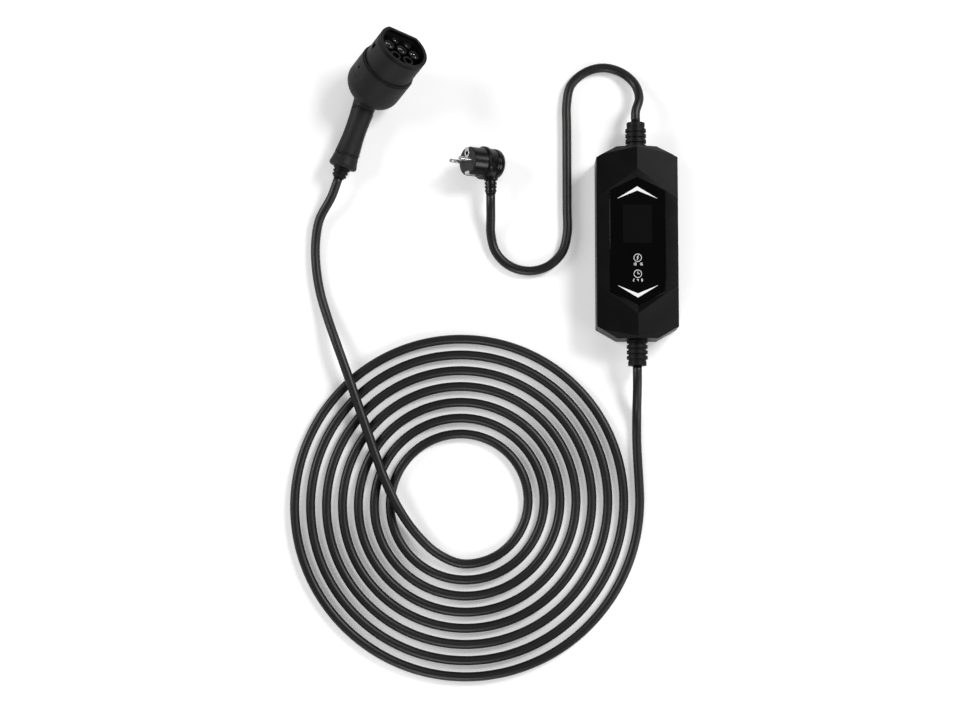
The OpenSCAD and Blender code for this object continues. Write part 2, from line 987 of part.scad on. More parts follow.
module head_housing() {
    color(black_plastic)
        on_gun()
            difference() {
                head_form(0);
                head_form(grip_wall);
                rotate([0, bend_angle, 0]) {
                    translate([0, 0, head_l - 1])
                        cylinder(r = head_r - grip_wall, h = 2);
                    plate_sector(plate_t, slide_gap);
                    rotate([0, 0, drain_angle])
                        translate([head_r, 0, drain_s])
                            cube([3 * grip_wall, drain_side, drain_side], center = true);
                }
                translate([0, 0, -neck_from_bend - 1])
                    cylinder(r = neck_bore_r, h = 2);
            }
}

module side_plate() {
    color(grey_plastic)
        on_head()
            plate_sector(plate_t - slide_gap, 0);
}

// Hollow handle, cut back on the finger side where the grip pad sits
module handle_shell() {
    color(black_plastic)
        on_gun()
            difference() {
                rotate_extrude()
                    polygon(concat(
                        [[handle_r(0) - joint_groove, handle_z(0)]],
                        handle_side(joint_share, 1 - joint_share, 0),
                        [[handle_r(1) - joint_groove, handle_z(1)]],
                        handle_side(1, 0, pad_t + grip_wall)
                    ));
                rotate([0, 0, -pad_half_angle - pad_edge])
                    rotate_extrude(angle = 2 * (pad_half_angle + pad_edge))
                        polygon(concat(
                            handle_side(pad_from, 1 - pad_from, pad_t),
                            handle_side(1 - pad_from, pad_from, -pad_t)
                        ));
            }
}

// Soft pad on the finger side, with fine ribs along one edge
module grip_pad() {
    rib_step = (1 - 2 * rib_from) / rib_count;
    ribs = [
        for (i = [0 : rib_count - 1])
            let (t = rib_from + i * rib_step)
            each [
                [handle_r(t) - rib_sink, handle_z(t)],
                [handle_r(t) + rib_h, handle_z(t + 0.25 * rib_step)],
                [handle_r(t) + rib_h, handle_z(t + 0.55 * rib_step)],
                [handle_r(t) - rib_sink, handle_z(t + 0.8 * rib_step)]
            ]
    ];
    color(soft_black)
        on_gun() {
            rotate([0, 0, -pad_half_angle])
                rotate_extrude(angle = 2 * pad_half_angle)
                    polygon(concat(
                        handle_side(pad_from + pad_clear, 1 - pad_from - pad_clear, pad_t - slide_gap),
                        handle_side(1 - pad_from - pad_clear, pad_from + pad_clear, 0)
                    ));
            rotate([0, 0, rib_from_angle])
                rotate_extrude(angle = rib_to_angle - rib_from_angle)
                    polygon(concat(
                        ribs,
                        handle_side(1 - rib_from, rib_from, rib_root)
                    ));
        }
}

// Flared cap that closes the handle round the cable gland
module end_cap() {
    color(black_plastic)
        on_gun()
            rotate_extrude()
                polygon([
                    [cap_bore_r, -cap_from_bend],
                    [cap_start_r - joint_groove, -cap_from_bend],
                    [cap_start_r, -cap_from_bend - joint_groove],
                    [cap_start_r + 0.35 * (cap_r - cap_start_r), -cap_from_bend - 0.4 * cap_l],
                    [cap_r, -cap_from_bend - 0.75 * cap_l],
                    [cap_r - 0.6, -cap_from_bend - 0.9 * cap_l],
                    [cap_r - 2.4, -cap_end],
                    [cap_bore_r, -cap_end]
                ]);
}

// Ringed gland on the cable, with a neck inside the end cap
module gun_gland() {
    rings = 3;
    groove = 1.6;
    pitch = gun_gland_l / rings;
    ring_l = 0.6 * pitch;
    color(soft_black)
        on_gun()
            rotate_extrude()
                polygon(concat(
                    [[0, -gun_end], [0, -cap_from_bend], [cap_bore_r - slide_gap, -cap_from_bend],
                        [cap_bore_r - slide_gap, -cap_end]],
                    [
                        for (i = [0 : rings - 1])
                            let (z = -cap_end - i * pitch, r = gun_gland_r - 0.7 * i)
                            each [
                                [r, z],
                                [r, z - ring_l],
                                [r - groove, z - ring_l],
                                [r - groove, z - pitch]
                            ]
                    ]
                ));
}

// Straight rod between two points
module rod(p, q, r) {
    d = q - p;
    translate(p)
        rotate([0, acos(d.z / norm(d)), atan2(d.y, d.x)])
            cylinder(r = r, h = norm(d));
}

// Conductors from the contacts, gathered into the cable in the handle
module gun_conductors() {
    gather = [gather_l * sin(bend_angle), 0, -gather_l * cos(bend_angle)];
    color(copper) {
        on_head()
            for (p = concat(power_places, signal_places)) {
                translate([p.x, p.y, contact_rear - stub_l])
                    cylinder(r = signal_r - slide_gap, h = stub_l);
                rod(
                    [p.x, p.y, contact_rear - stub_l / 2],
                    gather + gather_share * [p.x, p.y, 0],
                    conductor_r
                );
            }
        on_gun()
            translate([0, 0, -cap_from_bend])
                cylinder(r = core_r, h = cap_from_bend - gather_l + core_r);
    }
}

// Small board with the coding resistor, on the back of the insert
module coding_board() {
    color(board_green)
        on_head()
            translate([lower_drop, 0, head_l - 0.8])
                cube([7, 26, 1.6], center = true);
}

// Mains plug, derived. Its own frame has the face's middle at the origin, the pins along +Z, side
// by side along X, and the cable leaving along -Y. The plug leans on its rear edge.
plug_at = [-202, 98, 38.9];
plug_lean = 55;
shoulder_l = 6;
shoulder_flat = plug_rear_r + 0.4;
groove_z = 34;
groove_w = 4;
groove_t = 1.2;
rear_round = 7;
boot_z = 34;
boot_end = plug_rear_r + boot_l;
face_t = 2.5;
face_r = plug_r - 1.2;
pin_root = 12;
pin_root_r = pin_r - 0.3;
earth_ring_r = 4.7;
earth_neck_w = 4.4;
earth_neck_y = 2.6;
earth_w = 8;
earth_t = 1;
earth_l = 13;
boot_point = plug_at + [boot_z * sin(plug_lean), -boot_end, -boot_z * cos(plug_lean)];

module on_plug() {
    translate(plug_at)
        rotate([0, -plug_lean, 0])
            children();
}

module at_pins() {
    for (x = [-pin_step / 2, pin_step / 2])
        translate([x, 0, 0])
            children();
}

// Room for the earth contacts at both sides of the plug, up to a depth behind the face
module earth_cuts(gap, depth) {
    for (side = [0, 180])
        rotate([0, 0, side])
            translate([-earth_w / 2 - slide_gap, earth_flat - gap, -depth])
                cube([earth_w + 2 * slide_gap, plug_r, depth + 1]);
}

// Ringed boot that runs down the cable from the plug's rear
module boot_profile() {
    rings = 3;
    from = plug_rear_r + 3;
    pitch = (boot_end - from - 2) / rings;
    polygon(concat(
        [[0, plug_rear_r - 6], [boot_r + 2.4, plug_rear_r - 6], [boot_r + 1, from - 1.5]],
        [
            for (i = [0 : rings - 1])
                let (z = from + i * pitch)
                each [[boot_r - 1.2, z - 0.5], [boot_r - 1.2, z + 0.25 * pitch],
                    [boot_r - 0.2 * i, z + 0.35 * pitch], [boot_r - 0.2 * i, z + 0.85 * pitch]]
        ],
        [[cord_d / 2 + 0.6, boot_end - 2], [cord_d / 2 + 0.6, boot_end], [0, boot_end]]
    ));
}

// Right-angle moulded body: round front with flat earth sides, shoulder, rounded rear and boot
module plug_body() {
    rear = [
        for (i = [0 : 6])
            let (a = 90 * i / 6)
            [plug_rear_r - rear_round * (1 - sin(a)), -plug_l + rear_round * (1 - cos(a))]
    ];
    color(black_plastic)
        on_plug()
            difference() {
                union() {
                    rotate_extrude()
                        polygon(concat(
                            [[0, -plug_l]],
                            rear,
                            [
                                [plug_rear_r, -groove_z - groove_w / 2],
                                [plug_rear_r - groove_t, -groove_z - groove_w / 2 + groove_t / 2],
                                [plug_rear_r - groove_t, -groove_z + groove_w / 2 - groove_t / 2],
                                [plug_rear_r, -groove_z + groove_w / 2],
                                [plug_rear_r, -plug_front_l - shoulder_l - 1],
                                [plug_shoulder_r, -plug_front_l - shoulder_l + 1],
                                [plug_shoulder_r, -plug_front_l - 2],
                                [plug_r, -plug_front_l],
                                [plug_r, -0.8],
                                [plug_r - 0.8, 0],
                                [0, 0]
                            ]
                        ));
                    translate([0, 0, -boot_z])
                        rotate([90, 0, 0])
                            rotate_extrude()
                                boot_profile();
                }
                translate([0, 0, -face_t])
                    cylinder(r = face_r + slide_gap, h = face_t + 1);
                earth_cuts(0, earth_l + slide_gap);
                for (side = [0, 180])
                    rotate([0, 0, side])
                        translate([shoulder_flat, -plug_r, -plug_front_l - shoulder_l - 2])
                            cube([plug_r, 2 * plug_r, shoulder_l + 3]);
                at_pins()
                    translate([0, 0, -face_t - pin_root])
                        cylinder(r = pin_root_r + slide_gap, h = pin_root + face_t + 1);
                translate([0, earth_hole_y, -earth_hole_l])
                    cylinder(r = earth_hole_r, h = earth_hole_l + 1);
            }
}

// Hard face plate in the front of the plug
module plug_face() {
    color(grey_plastic)
        on_plug()
            difference() {
                translate([0, 0, -face_t])
                    cylinder(r = face_r, h = face_t);
                earth_cuts(slide_gap, face_t + 1);
                at_pins()
                    translate([0, 0, -face_t - 1])
                        cylinder(r = pin_root_r + slide_gap, h = face_t + 2);
                translate([0, earth_hole_y, -face_t - 1])
                    cylinder(r = earth_hole_r, h = face_t + 2);
            }
}

// Two round pins with tapered tips, each on a thinner root held in the body
module plug_pins() {
    tip = 1;
    color(metal)
        on_plug()
            at_pins()
                rotate_extrude()
                    polygon([
                        [0, -face_t - pin_root], [pin_root_r, -face_t - pin_root], [pin_root_r, 0],
                        [pin_r, 0], [pin_r, pin_l - tip], [pin_r - tip, pin_l], [0, pin_l]
                    ]);
}

// Earth strip along one side of the plug's front
module earth_side(side) {
    y = side > 0 ? earth_flat : -earth_flat - earth_t;
    translate([-earth_w / 2, y, -earth_l])
        cube([earth_w, earth_t, earth_l]);
}

// Upper earth strip, bent over the face into a ring round the earth hole with a short neck
module earth_frame() {
    top = earth_flat + earth_t;
    color(metal)
        on_plug()
            difference() {
                union() {
                    earth_side(1);
                    translate([-earth_w / 2, earth_hole_y, 0])
                        cube([earth_w, top - earth_hole_y, earth_t]);
                    translate([0, earth_hole_y, 0])
                        cylinder(r = earth_ring_r, h = earth_t);
                    translate([-earth_neck_w / 2, earth_neck_y, 0])
                        cube([earth_neck_w, earth_hole_y - earth_neck_y, earth_t]);
                }
                translate([0, earth_hole_y, -1])
                    cylinder(r = earth_hole_r, h = earth_t + 2);
            }
}

// Lower earth strip with a short lip over the face
module earth_strip() {
    lip = 3;
    color(metal)
        on_plug() {
            earth_side(-1);
            translate([-earth_w / 2, -earth_flat - earth_t, 0])
                cube([earth_w, lip + earth_t, earth_t]);
        }
}

// Cords. Routes are points on the middle of the cord, from the control box outwards.
cord_z = cord_d / 2;
cord_sides = 10;
coil_aside = 3;
coil_end_r = coil_r - (coil_turns - 0.75) * coil_pitch;
over_coil = 1.5 * cord_d + drop_gap;
mains_exit = [0, body_l / 2 + relief_end, split_z];
charge_exit = [0, -body_l / 2 - relief_end, split_z];

mains_route = concat(
    [mains_exit],
    [
        [0, 160, split_z], [5, 178, 19], [0, 198, 11], [-16, 213, 7],
        [-38, 219, cord_z], [-60, 213, cord_z], [-77, 197, cord_z], [-82, 174, cord_z],
        [-82, 148, cord_z], [-82, 122, cord_z], [-82, 96, cord_z], [-82, 70, cord_z],
        [-82, 43, cord_z], [-82, 16, cord_z], [-88, -7, cord_z], [-105, -24, cord_z],
        [-128, -30, cord_z], [-151, -24, cord_z], [-168, -7, cord_z], [-174, 15, 8], [-174, 34, 14]
    ],
    [boot_point - [0, 12, 0], boot_point]
);

// The lead drops to the floor in even steps of its run: place along the run, share of the drop
lead_steps = [[0, 0], [0.16, 0], [0.4, 0.31], [0.63, 0.77], [0.82, 0.97], [1, 1]];
charge_route = [
    for (step = lead_steps)
        charge_exit - [0, step[0] * lead_run, step[1] * (split_z - cord_z)]
];
lead_end_y = charge_exit.y - lead_run;

// The outermost turn runs on from the lead, beside its end
coil_out = coil_r + cord_d / 2;
coil_at = [
    coil_aside - coil_r,
    lead_end_y - drop_gap - sqrt(pow(coil_out, 2) - pow(coil_r - coil_aside - cord_d / 2, 2))
];

tail_route = concat(
    [
        [-236, -366, over_coil], [-262, -346, over_coil], [-282, -318, over_coil],
        [-298, -286, over_coil], [-311, -252, over_coil], [-323, -218, over_coil],
        [-335, -184, over_coil], [-347, -150, over_coil], [-359, -117, 15],
        [-370, -86, 9], [-379, -56, cord_z], [-384, -26, cord_z], [-385, 4, cord_z], [-381, 30, 8]
    ],
    [gun_point(gun_end + 22), gun_point(gun_end)]
);

// Direction of a route at one of its points
function route_dir(route, i) =
    let (d = route[min(i + 1, len(route) - 1)] - route[max(i - 1, 0)])
    d / norm(d);

// Ring of points round a route at one of its points
function route_ring(route, i, r) =
    let (
        along = route_dir(route, i),
        side = cross(along, [0, 0, 1]) / norm(cross(along, [0, 0, 1])),
        up = cross(side, along)
    )
    [
        for (k = [0 : cord_sides - 1])
            let (a = 360 * (k + 0.5) / cord_sides)
            route[i] + r * cos(a) * side + r * sin(a) * up
    ];

// Closed tube swept along a route
module cord_tube(route) {
    last = len(route) - 1;
    n = cord_sides;
    points = [for (i = [0 : last]) each route_ring(route, i, cord_d / 2)];
    sides = [
        for (i = [0 : last - 1], k = [0 : n - 1])
            let (next = (k + 1) % n)
            [i * n + k, i * n + next, (i + 1) * n + next, (i + 1) * n + k]
    ];
    first_ring = [for (k = [0 : n - 1]) n - 1 - k];
    last_ring = [for (k = [0 : n - 1]) last * n + k];
    color(cord_black)
        polyhedron(points, concat(sides, [first_ring], [last_ring]));
}

module mains_cord() {
    cord_tube(mains_route);
}

module charge_lead() {
    cord_tube(charge_route);
}

// Outer shape of the flat coil
module charge_coil() {
    color(cord_black)
        translate([coil_at.x, coil_at.y, 0])
            rotate_extrude($fn = 128)
                translate([coil_end_r - cord_d / 2, 0])
                    square([coil_r - coil_end_r + cord_d, cord_d]);
}

module charge_tail() {
    cord_tube(tail_route);
}

upper_shell();
lower_shell();
shell_seal();
touch_panel();
display_module();
touch_springs();
control_board();
power_relays();
current_transformer();
supply_transformer();
filter_capacitors();
fuse();
mains_terminal();
output_terminal();
mains_leads();
output_leads();
board_screws();
shell_screws();
mains_relief();
charge_relief();
nose_sleeve();
contact_insert();
power_towers();
signal_towers();
power_contacts();
signal_contacts();
nose_seal();
head_housing();
side_plate();
handle_shell();
grip_pad();
end_cap();
gun_gland();
gun_conductors();
coding_board();
plug_body();
plug_face();
plug_pins();
earth_frame();
earth_strip();
mains_cord();
charge_lead();
charge_coil();
charge_tail();
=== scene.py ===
"""Looks of the portable car charger: cords, printed panel, softened housings and finishes.

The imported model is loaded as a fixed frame. Each operator makes one piece or one group of like
pieces from the sizes and colours held in the property groups.
"""
import json
import math

import bmesh
import bpy
import numpy as np
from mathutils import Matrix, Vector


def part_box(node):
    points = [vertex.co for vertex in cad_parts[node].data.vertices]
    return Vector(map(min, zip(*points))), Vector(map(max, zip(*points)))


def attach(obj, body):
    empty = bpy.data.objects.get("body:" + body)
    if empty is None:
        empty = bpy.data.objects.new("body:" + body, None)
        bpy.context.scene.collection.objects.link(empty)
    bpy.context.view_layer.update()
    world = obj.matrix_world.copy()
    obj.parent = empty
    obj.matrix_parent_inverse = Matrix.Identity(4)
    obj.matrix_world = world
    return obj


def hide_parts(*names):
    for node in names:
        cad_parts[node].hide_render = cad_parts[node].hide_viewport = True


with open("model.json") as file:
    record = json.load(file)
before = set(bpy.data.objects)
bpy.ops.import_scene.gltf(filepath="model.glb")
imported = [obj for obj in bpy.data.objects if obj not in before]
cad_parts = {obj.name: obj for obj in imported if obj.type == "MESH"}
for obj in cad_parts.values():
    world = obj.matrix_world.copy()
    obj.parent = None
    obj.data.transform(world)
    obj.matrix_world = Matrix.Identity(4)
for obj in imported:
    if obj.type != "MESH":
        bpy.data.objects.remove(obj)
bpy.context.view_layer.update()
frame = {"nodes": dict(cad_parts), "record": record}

bl_info = {
    "name": "Portable car charger looks",
    "version": (1, 0, 0),
    "blender": (4, 5, 0),
    "location": "3D View > Sidebar > Charger",
    "description": "Dresses the packed charger with cords, print, soft edges and finishes",
    "category": "Object",
}

BODY = "root"
MM = 0.001
UP = np.array([0.0, 0.0, 1.0])

# Points of the surfaces: along each piece of a route, each turn of the coil, a chevron, a key's
# ring and the window's corners together
SPAN_STEPS = 24
TURN_STEPS = 24
CHEVRON_STEPS = 25
RING_STEPS = 48
WINDOW_STEPS = 32

# Copies of the solids: points closer than this merge, faces within this angle are one flat area
MERGE_DISTANCE = 2e-6
FLAT_ANGLE = math.radians(0.6)
BEVEL_STEPS = 2


# Sizes and colours


class CordSizes(bpy.types.PropertyGroup):
    """Sizes of the two cords and of the coil."""

    diameter: bpy.props.FloatProperty(
        name="Diameter", description="Outside diameter of both cords",
        default=0.011, unit="LENGTH")
    sides: bpy.props.IntProperty(
        name="Sides", description="Points round a cord", default=20, min=8, max=32)
    ring_step: bpy.props.FloatProperty(
        name="Ring step", description="Distance between the rings of points along a cord",
        default=0.0055, unit="LENGTH")
    turns: bpy.props.FloatProperty(
        name="Turns", description="Turns in the coil, from its outside to where the tail leaves",
        default=7.25, min=3, max=8)
    pitch: bpy.props.FloatProperty(
        name="Pitch", description="Distance between neighbouring turns",
        default=0.01897, unit="LENGTH")
    coil_radius: bpy.props.FloatProperty(
        name="Coil radius", description="Radius of the outermost turn, at the middle of the cord",
        default=0.21, unit="LENGTH")
    coil_centre: bpy.props.FloatVectorProperty(
        name="Coil centre", description="Middle of the coil on the floor",
        default=(-0.207, -0.30831), size=2, subtype="XYZ")


class PanelSizes(bpy.types.PropertyGroup):
    """Places and sizes of the print on the touch panel."""

    print_height: bpy.props.FloatProperty(
        name="Print height", description="Thickness of the printed ink",
        default=0.00012, unit="LENGTH")
    chevron_half: bpy.props.FloatProperty(
        name="Chevron half width", description="Half of a chevron's width",
        default=0.0236, unit="LENGTH")
    chevron_rise: bpy.props.FloatProperty(
        name="Chevron rise", description="Height of a chevron's tip over its ends",
        default=0.0143, unit="LENGTH")
    chevron_thick: bpy.props.FloatProperty(
        name="Chevron thickness", description="Thickness at a chevron's tip, along the box",
        default=0.0046, unit="LENGTH")
    chevron_end: bpy.props.FloatProperty(
        name="Chevron end", description="Thickness at a chevron's ends, along the box",
        default=0.0003, unit="LENGTH")
    upper_tip: bpy.props.FloatProperty(
        name="Upper tip", description="Place of the upper chevron's tip along the box",
        default=0.066, unit="LENGTH")
    lower_tip: bpy.props.FloatProperty(
        name="Lower tip", description="Place of the lower chevron's tip along the box",
        default=-0.0674, unit="LENGTH")
    key_radius: bpy.props.FloatProperty(
        name="Key ring radius", description="Radius of the ring round a touch key's sign",
        default=0.0045, unit="LENGTH")
    key_line: bpy.props.FloatProperty(
        name="Key line", description="Width of the printed lines of the keys",
        default=0.0006, unit="LENGTH")
    upper_key: bpy.props.FloatProperty(
        name="Upper key", description="Place of the upper key along the box",
        default=-0.0198, unit="LENGTH")
    lower_key: bpy.props.FloatProperty(
        name="Lower key", description="Place of the lower key along the box",
        default=-0.039, unit="LENGTH")
    numeral_drop: bpy.props.FloatProperty(
        name="Numeral drop", description="Distance from a key's middle to the foot of its numerals",
        default=0.0089, unit="LENGTH")
    window_half: bpy.props.FloatVectorProperty(
        name="Window half size", description="Half width and half height of the display window",
        default=(0.0173, 0.023), size=2, subtype="XYZ")
    window_corner: bpy.props.FloatProperty(
        name="Window corner", description="Radius of the display window's corners",
        default=0.0012, unit="LENGTH")
    window_middle: bpy.props.FloatProperty(
        name="Window middle", description="Place of the display window along the box",
        default=0.021, unit="LENGTH")


class Finishes(bpy.types.PropertyGroup):
    """Colours of the finishes, and how far the connector's dark lip reaches."""

    shell: bpy.props.FloatVectorProperty(
        name="Shell", description="Moulded control box", default=(0.003, 0.003, 0.0032),
        size=3, subtype="COLOR", min=0, max=1)
    grip: bpy.props.FloatVectorProperty(
        name="Grip", description="Moulded car connector", default=(0.014, 0.014, 0.0145),
        size=3, subtype="COLOR", min=0, max=1)
    panel: bpy.props.FloatVectorProperty(
        name="Panel", description="Gloss panel", default=(0.001, 0.001, 0.0012),
        size=3, subtype="COLOR", min=0, max=1)
    rubber: bpy.props.FloatVectorProperty(
        name="Rubber", description="Soft mouldings", default=(0.004, 0.004, 0.0042),
        size=3, subtype="COLOR", min=0, max=1)
    sheath: bpy.props.FloatVectorProperty(
        name="Sheath", description="Outside of the cords", default=(0.008, 0.008, 0.0083),
        size=3, subtype="COLOR", min=0, max=1)
    ink: bpy.props.FloatVectorProperty(
        name="Ink", description="White print", default=(0.86, 0.87, 0.88),
        size=3, subtype="COLOR", min=0, max=1)
    window: bpy.props.FloatVectorProperty(
        name="Window", description="Display window", default=(0.0032, 0.0032, 0.0034),
        size=3, subtype="COLOR", min=0, max=1)
    face: bpy.props.FloatVectorProperty(
        name="Face", description="Face of the mains plug", default=(0.035, 0.035, 0.037),
        size=3, subtype="COLOR", min=0, max=1)
    pin: bpy.props.FloatVectorProperty(
        name="Pins", description="Metal of the mains plug", default=(0.82, 0.81, 0.79),
        size=3, subtype="COLOR", min=0, max=1)
    contact: bpy.props.FloatVectorProperty(
        name="Contacts", description="Metal of the car connector", default=(0.86, 0.85, 0.82),
        size=3, subtype="COLOR", min=0, max=1)
    spring: bpy.props.FloatVectorProperty(
        name="Springs", description="Touch springs and screws", default=(0.62, 0.62, 0.62),
        size=3, subtype="COLOR", min=0, max=1)
    can: bpy.props.FloatVectorProperty(
        name="Cans", description="Capacitor cans", default=(0.7, 0.71, 0.73),
        size=3, subtype="COLOR", min=0, max=1)
    board: bpy.props.FloatVectorProperty(
        name="Board", description="Circuit boards", default=(0.02, 0.14, 0.06),
        size=3, subtype="COLOR", min=0, max=1)
    case: bpy.props.FloatVectorProperty(
        name="Cases", description="Relays and transformers", default=(0.05, 0.055, 0.07),
        size=3, subtype="COLOR", min=0, max=1)
    block: bpy.props.FloatVectorProperty(
        name="Blocks", description="Terminal blocks", default=(0.03, 0.16, 0.08),
        size=3, subtype="COLOR", min=0, max=1)
    lead: bpy.props.FloatVectorProperty(
        name="Leads", description="Insulation of the leads", default=(0.2, 0.1, 0.05),
        size=3, subtype="COLOR", min=0, max=1)
    glass: bpy.props.FloatVectorProperty(
        name="Glass", description="Fuse", default=(0.9, 0.92, 0.91),
        size=3, subtype="COLOR", min=0, max=1)
    lip: bpy.props.FloatVectorProperty(
        name="Lip", description="Front lip of the car connector", default=(0.002, 0.002, 0.0022),
        size=3, subtype="COLOR", min=0, max=1)
    lip_length: bpy.props.FloatProperty(
        name="Lip length", description="Length of the dark lip behind the connector's rim",
        default=0.0041, unit="LENGTH")
    floor: bpy.props.FloatVectorProperty(
        name="Floor", description="Studio floor", default=(0.9, 0.9, 0.9),
        size=3, subtype="COLOR", min=0, max=1)


class StageSizes(bpy.types.PropertyGroup):
    """Places of the camera and the lamps, and the look of the floor."""

    lens: bpy.props.FloatProperty(
        name="Lens", description="Focal length in millimetres", default=85, subtype="NONE")
    sensor: bpy.props.FloatProperty(
        name="Sensor", description="Sensor width in millimetres", default=36, subtype="NONE")
    elevation: bpy.props.FloatProperty(
        name="Elevation", description="Angle of the camera over the floor",
        default=math.radians(84), subtype="ANGLE")
    camera_reach: bpy.props.FloatProperty(
        name="Camera reach", description="Distance from the camera to what it aims at",
        default=2.72, unit="LENGTH")
    aim: bpy.props.FloatVectorProperty(
        name="Camera aim", description="Place that the camera aims at",
        default=(-0.187, -0.137, 0), size=3, subtype="XYZ")
    lamp_aim: bpy.props.FloatVectorProperty(
        name="Lamp aim", description="Place that the lamps face",
        default=(-0.19, -0.1, 0), size=3, subtype="XYZ")
    floor_reach: bpy.props.FloatProperty(
        name="Floor reach", description="Half of the floor's width", default=6, unit="LENGTH")
    floor_rough: bpy.props.FloatProperty(
        name="Floor roughness", description="Roughness of the floor", default=0.9,
        min=0, max=1, subtype="FACTOR")
    floor_glow: bpy.props.FloatProperty(
        name="Floor glow", description="Brightness that the camera sees on top of the light",
        default=0.25, min=0, max=1, subtype="FACTOR")
    air: bpy.props.FloatProperty(
        name="Air", description="Strength of the even light from all round", default=0.08,
        min=0, max=1, subtype="FACTOR")


# Soft lights: name, place in metres, side in metres and power in watts
LAMPS = (
    ("key_box", (1.7, 1.3, 2.2), 1.0, 64),
    ("left_box", (-2.4, 0.7, 1.4), 1.2, 36),
    ("front_box", (-0.6, -2.5, 1.4), 1.2, 30),
    ("right_box", (2.2, -1.2, 1.4), 1.2, 26),
)

# Scales of the noise layers, in waves a metre, and stretches along the axes

CLOUD_SCALE = 38
DUST_SCALE = 420
SHEEN_SCALE = 30
WIPE_SCALE = 900
LINE_SCALE = 2600
PATCH_SCALE = 160
TRACK_SCALE = 90.0
TRACK_LEVEL = 0.72
LACQUER_SCALE = 240
MOTTLE_SCALE = 1500
STAIN_SCALE = 70
GLASS_SCALE = 300
FLOOR_SCALE = 3
ACROSS_WIPES = (1, 0.12, 1)
ALONG_LINES = (1, 1, 0.06)
ALONG_CORD = (1, 1, 0.08)

# Depths of the surface relief, in metres

SMOOTH_DEPTH = 0.00001
FINE_DEPTH = 0.00002
COARSE_DEPTH = 0.00003
RUBBER_DEPTH = 0.00004


# Shader sums


class Wire:
    """A value in a material's node tree. Sums written with it add Math nodes."""

    def __init__(self, tree, socket=None):
        self.tree = tree
        self.socket = socket

    def make(self, kind, settings=None, inputs=None, out=0):
        """Adds a node: its type, its settings first, then its sockets' values or links."""
        node = self.tree.nodes.new(kind)
        for name, value in (settings or {}).items():
            setattr(node, name, value)
        for name, value in (inputs or {}).items():
            plug(self.tree, node.inputs[name], value)
        return Wire(self.tree, node.outputs[out])

    def combine(self, operation, first, second):
        """Adds a Math node of two values."""
        return self.make("ShaderNodeMath", {"operation": operation}, {0: first, 1: second})

    def __add__(self, other):
        return self.combine("ADD", self, other)

    def __radd__(self, other):
        return self.combine("ADD", other, self)

    def __sub__(self, other):
        return self.combine("SUBTRACT", self, other)

    def __rsub__(self, other):
        return self.combine("SUBTRACT", other, self)

    def __mul__(self, other):
        return self.combine("MULTIPLY", self, other)

    def __rmul__(self, other):
        return self.combine("MULTIPLY", other, self)

    def __gt__(self, other):
        return self.combine("GREATER_THAN", self, other)

    def __lt__(self, other):
        return self.combine("LESS_THAN", self, other)


def plug(tree, socket, value):
    """Links a Wire to a socket, or sets the socket to a plain value."""
    if isinstance(value, Wire):
        tree.links.new(value.socket, socket)
    else:
        socket.default_value = value


def blank(name, **constants):
    """A new material, its empty wire and its shader with the constant sockets set."""
    material = bpy.data.materials.new(name)
    material.use_nodes = True
    shader = material.node_tree.nodes["Principled BSDF"]
    for socket, value in constants.items():
        shader.inputs[socket.replace("_", " ")].default_value = value
    return material, Wire(material.node_tree), shader


def place(wire, stretch=(1, 1, 1), attribute=None):
    """Object coordinates, or a piece's own attribute, multiplied axis by axis."""
    if attribute:
        at = wire.make("ShaderNodeAttribute", {"attribute_name": attribute}, out="Vector")
    else:
        at = wire.make("ShaderNodeTexCoord", out="Object")
    return wire.make("ShaderNodeVectorMath", {"operation": "MULTIPLY"}, {0: at, 1: stretch})


def noise(wire, at, scale, detail=2.0):
    """Cloudy values round 0.5."""
    return wire.make("ShaderNodeTexNoise", None,
                     {"Vector": at, "Scale": scale, "Detail": detail})


def tint(wire, factor, low, high):
    """A colour between two others, of which the first may be a Wire."""
    first = low if isinstance(low, Wire) else (*low, 1)
    return wire.make("ShaderNodeMix", {"data_type": "RGBA", "clamp_factor": True},
                     {0: factor, 6: first, 7: (*high, 1)}, out=2)


def relief(wire, height, distance, strength=1.0):
    """Surface relief of a height map, with its depth in metres."""
    return wire.make("ShaderNodeBump", None,
                     {"Height": height, "Distance": distance, "Strength": strength})


def shade(colour, factor):
    """A colour made lighter or darker, up to white."""
    return tuple(min(1.0, channel * factor) for channel in colour)


def uneven(rough, *layers):
    """A roughness that keeps its middle while each noise layer moves it by up to its share."""
    value = rough - sum(share for layer, share in layers) / 2
    for layer, share in layers:
        value = layer * share + value
    return value


def moulded(name, colour, rough, grain, depth, spread=0.4, shine=0.18, attribute=None,
            stretch=(1, 1, 1), lip=None):
    """Moulded plastic or rubber: spark grain, slow changes of gloss and a little dust. A lip is a
    function that gives an axis, a place along it and the colour of what lies beyond."""
    material, wire, shader = blank(name, Specular_IOR_Level=shine)
    at = place(wire, stretch, attribute)
    fine = noise(wire, at, 1 / grain, 2)
    broad = noise(wire, at, CLOUD_SCALE, 3)
    dust = noise(wire, at, DUST_SCALE, 4)
    tone = broad * 0.6 + fine * 0.4
    base = tint(wire, tone, shade(colour, 1 - spread), shade(colour, 1 + spread))
    if lip:
        axis, start, beyond = lip()
        along = wire.make("ShaderNodeVectorMath", {"operation": "DOT_PRODUCT"},
                          {0: place(wire), 1: axis}, out="Value")
        base = tint(wire, along > start, base, beyond)
    plug(wire.tree, shader.inputs["Base Color"], base)
    plug(wire.tree, shader.inputs["Roughness"], uneven(rough, (broad, 0.14), (dust, 0.08)))
    plug(wire.tree, shader.inputs["Normal"], relief(wire, fine, depth))
    return material


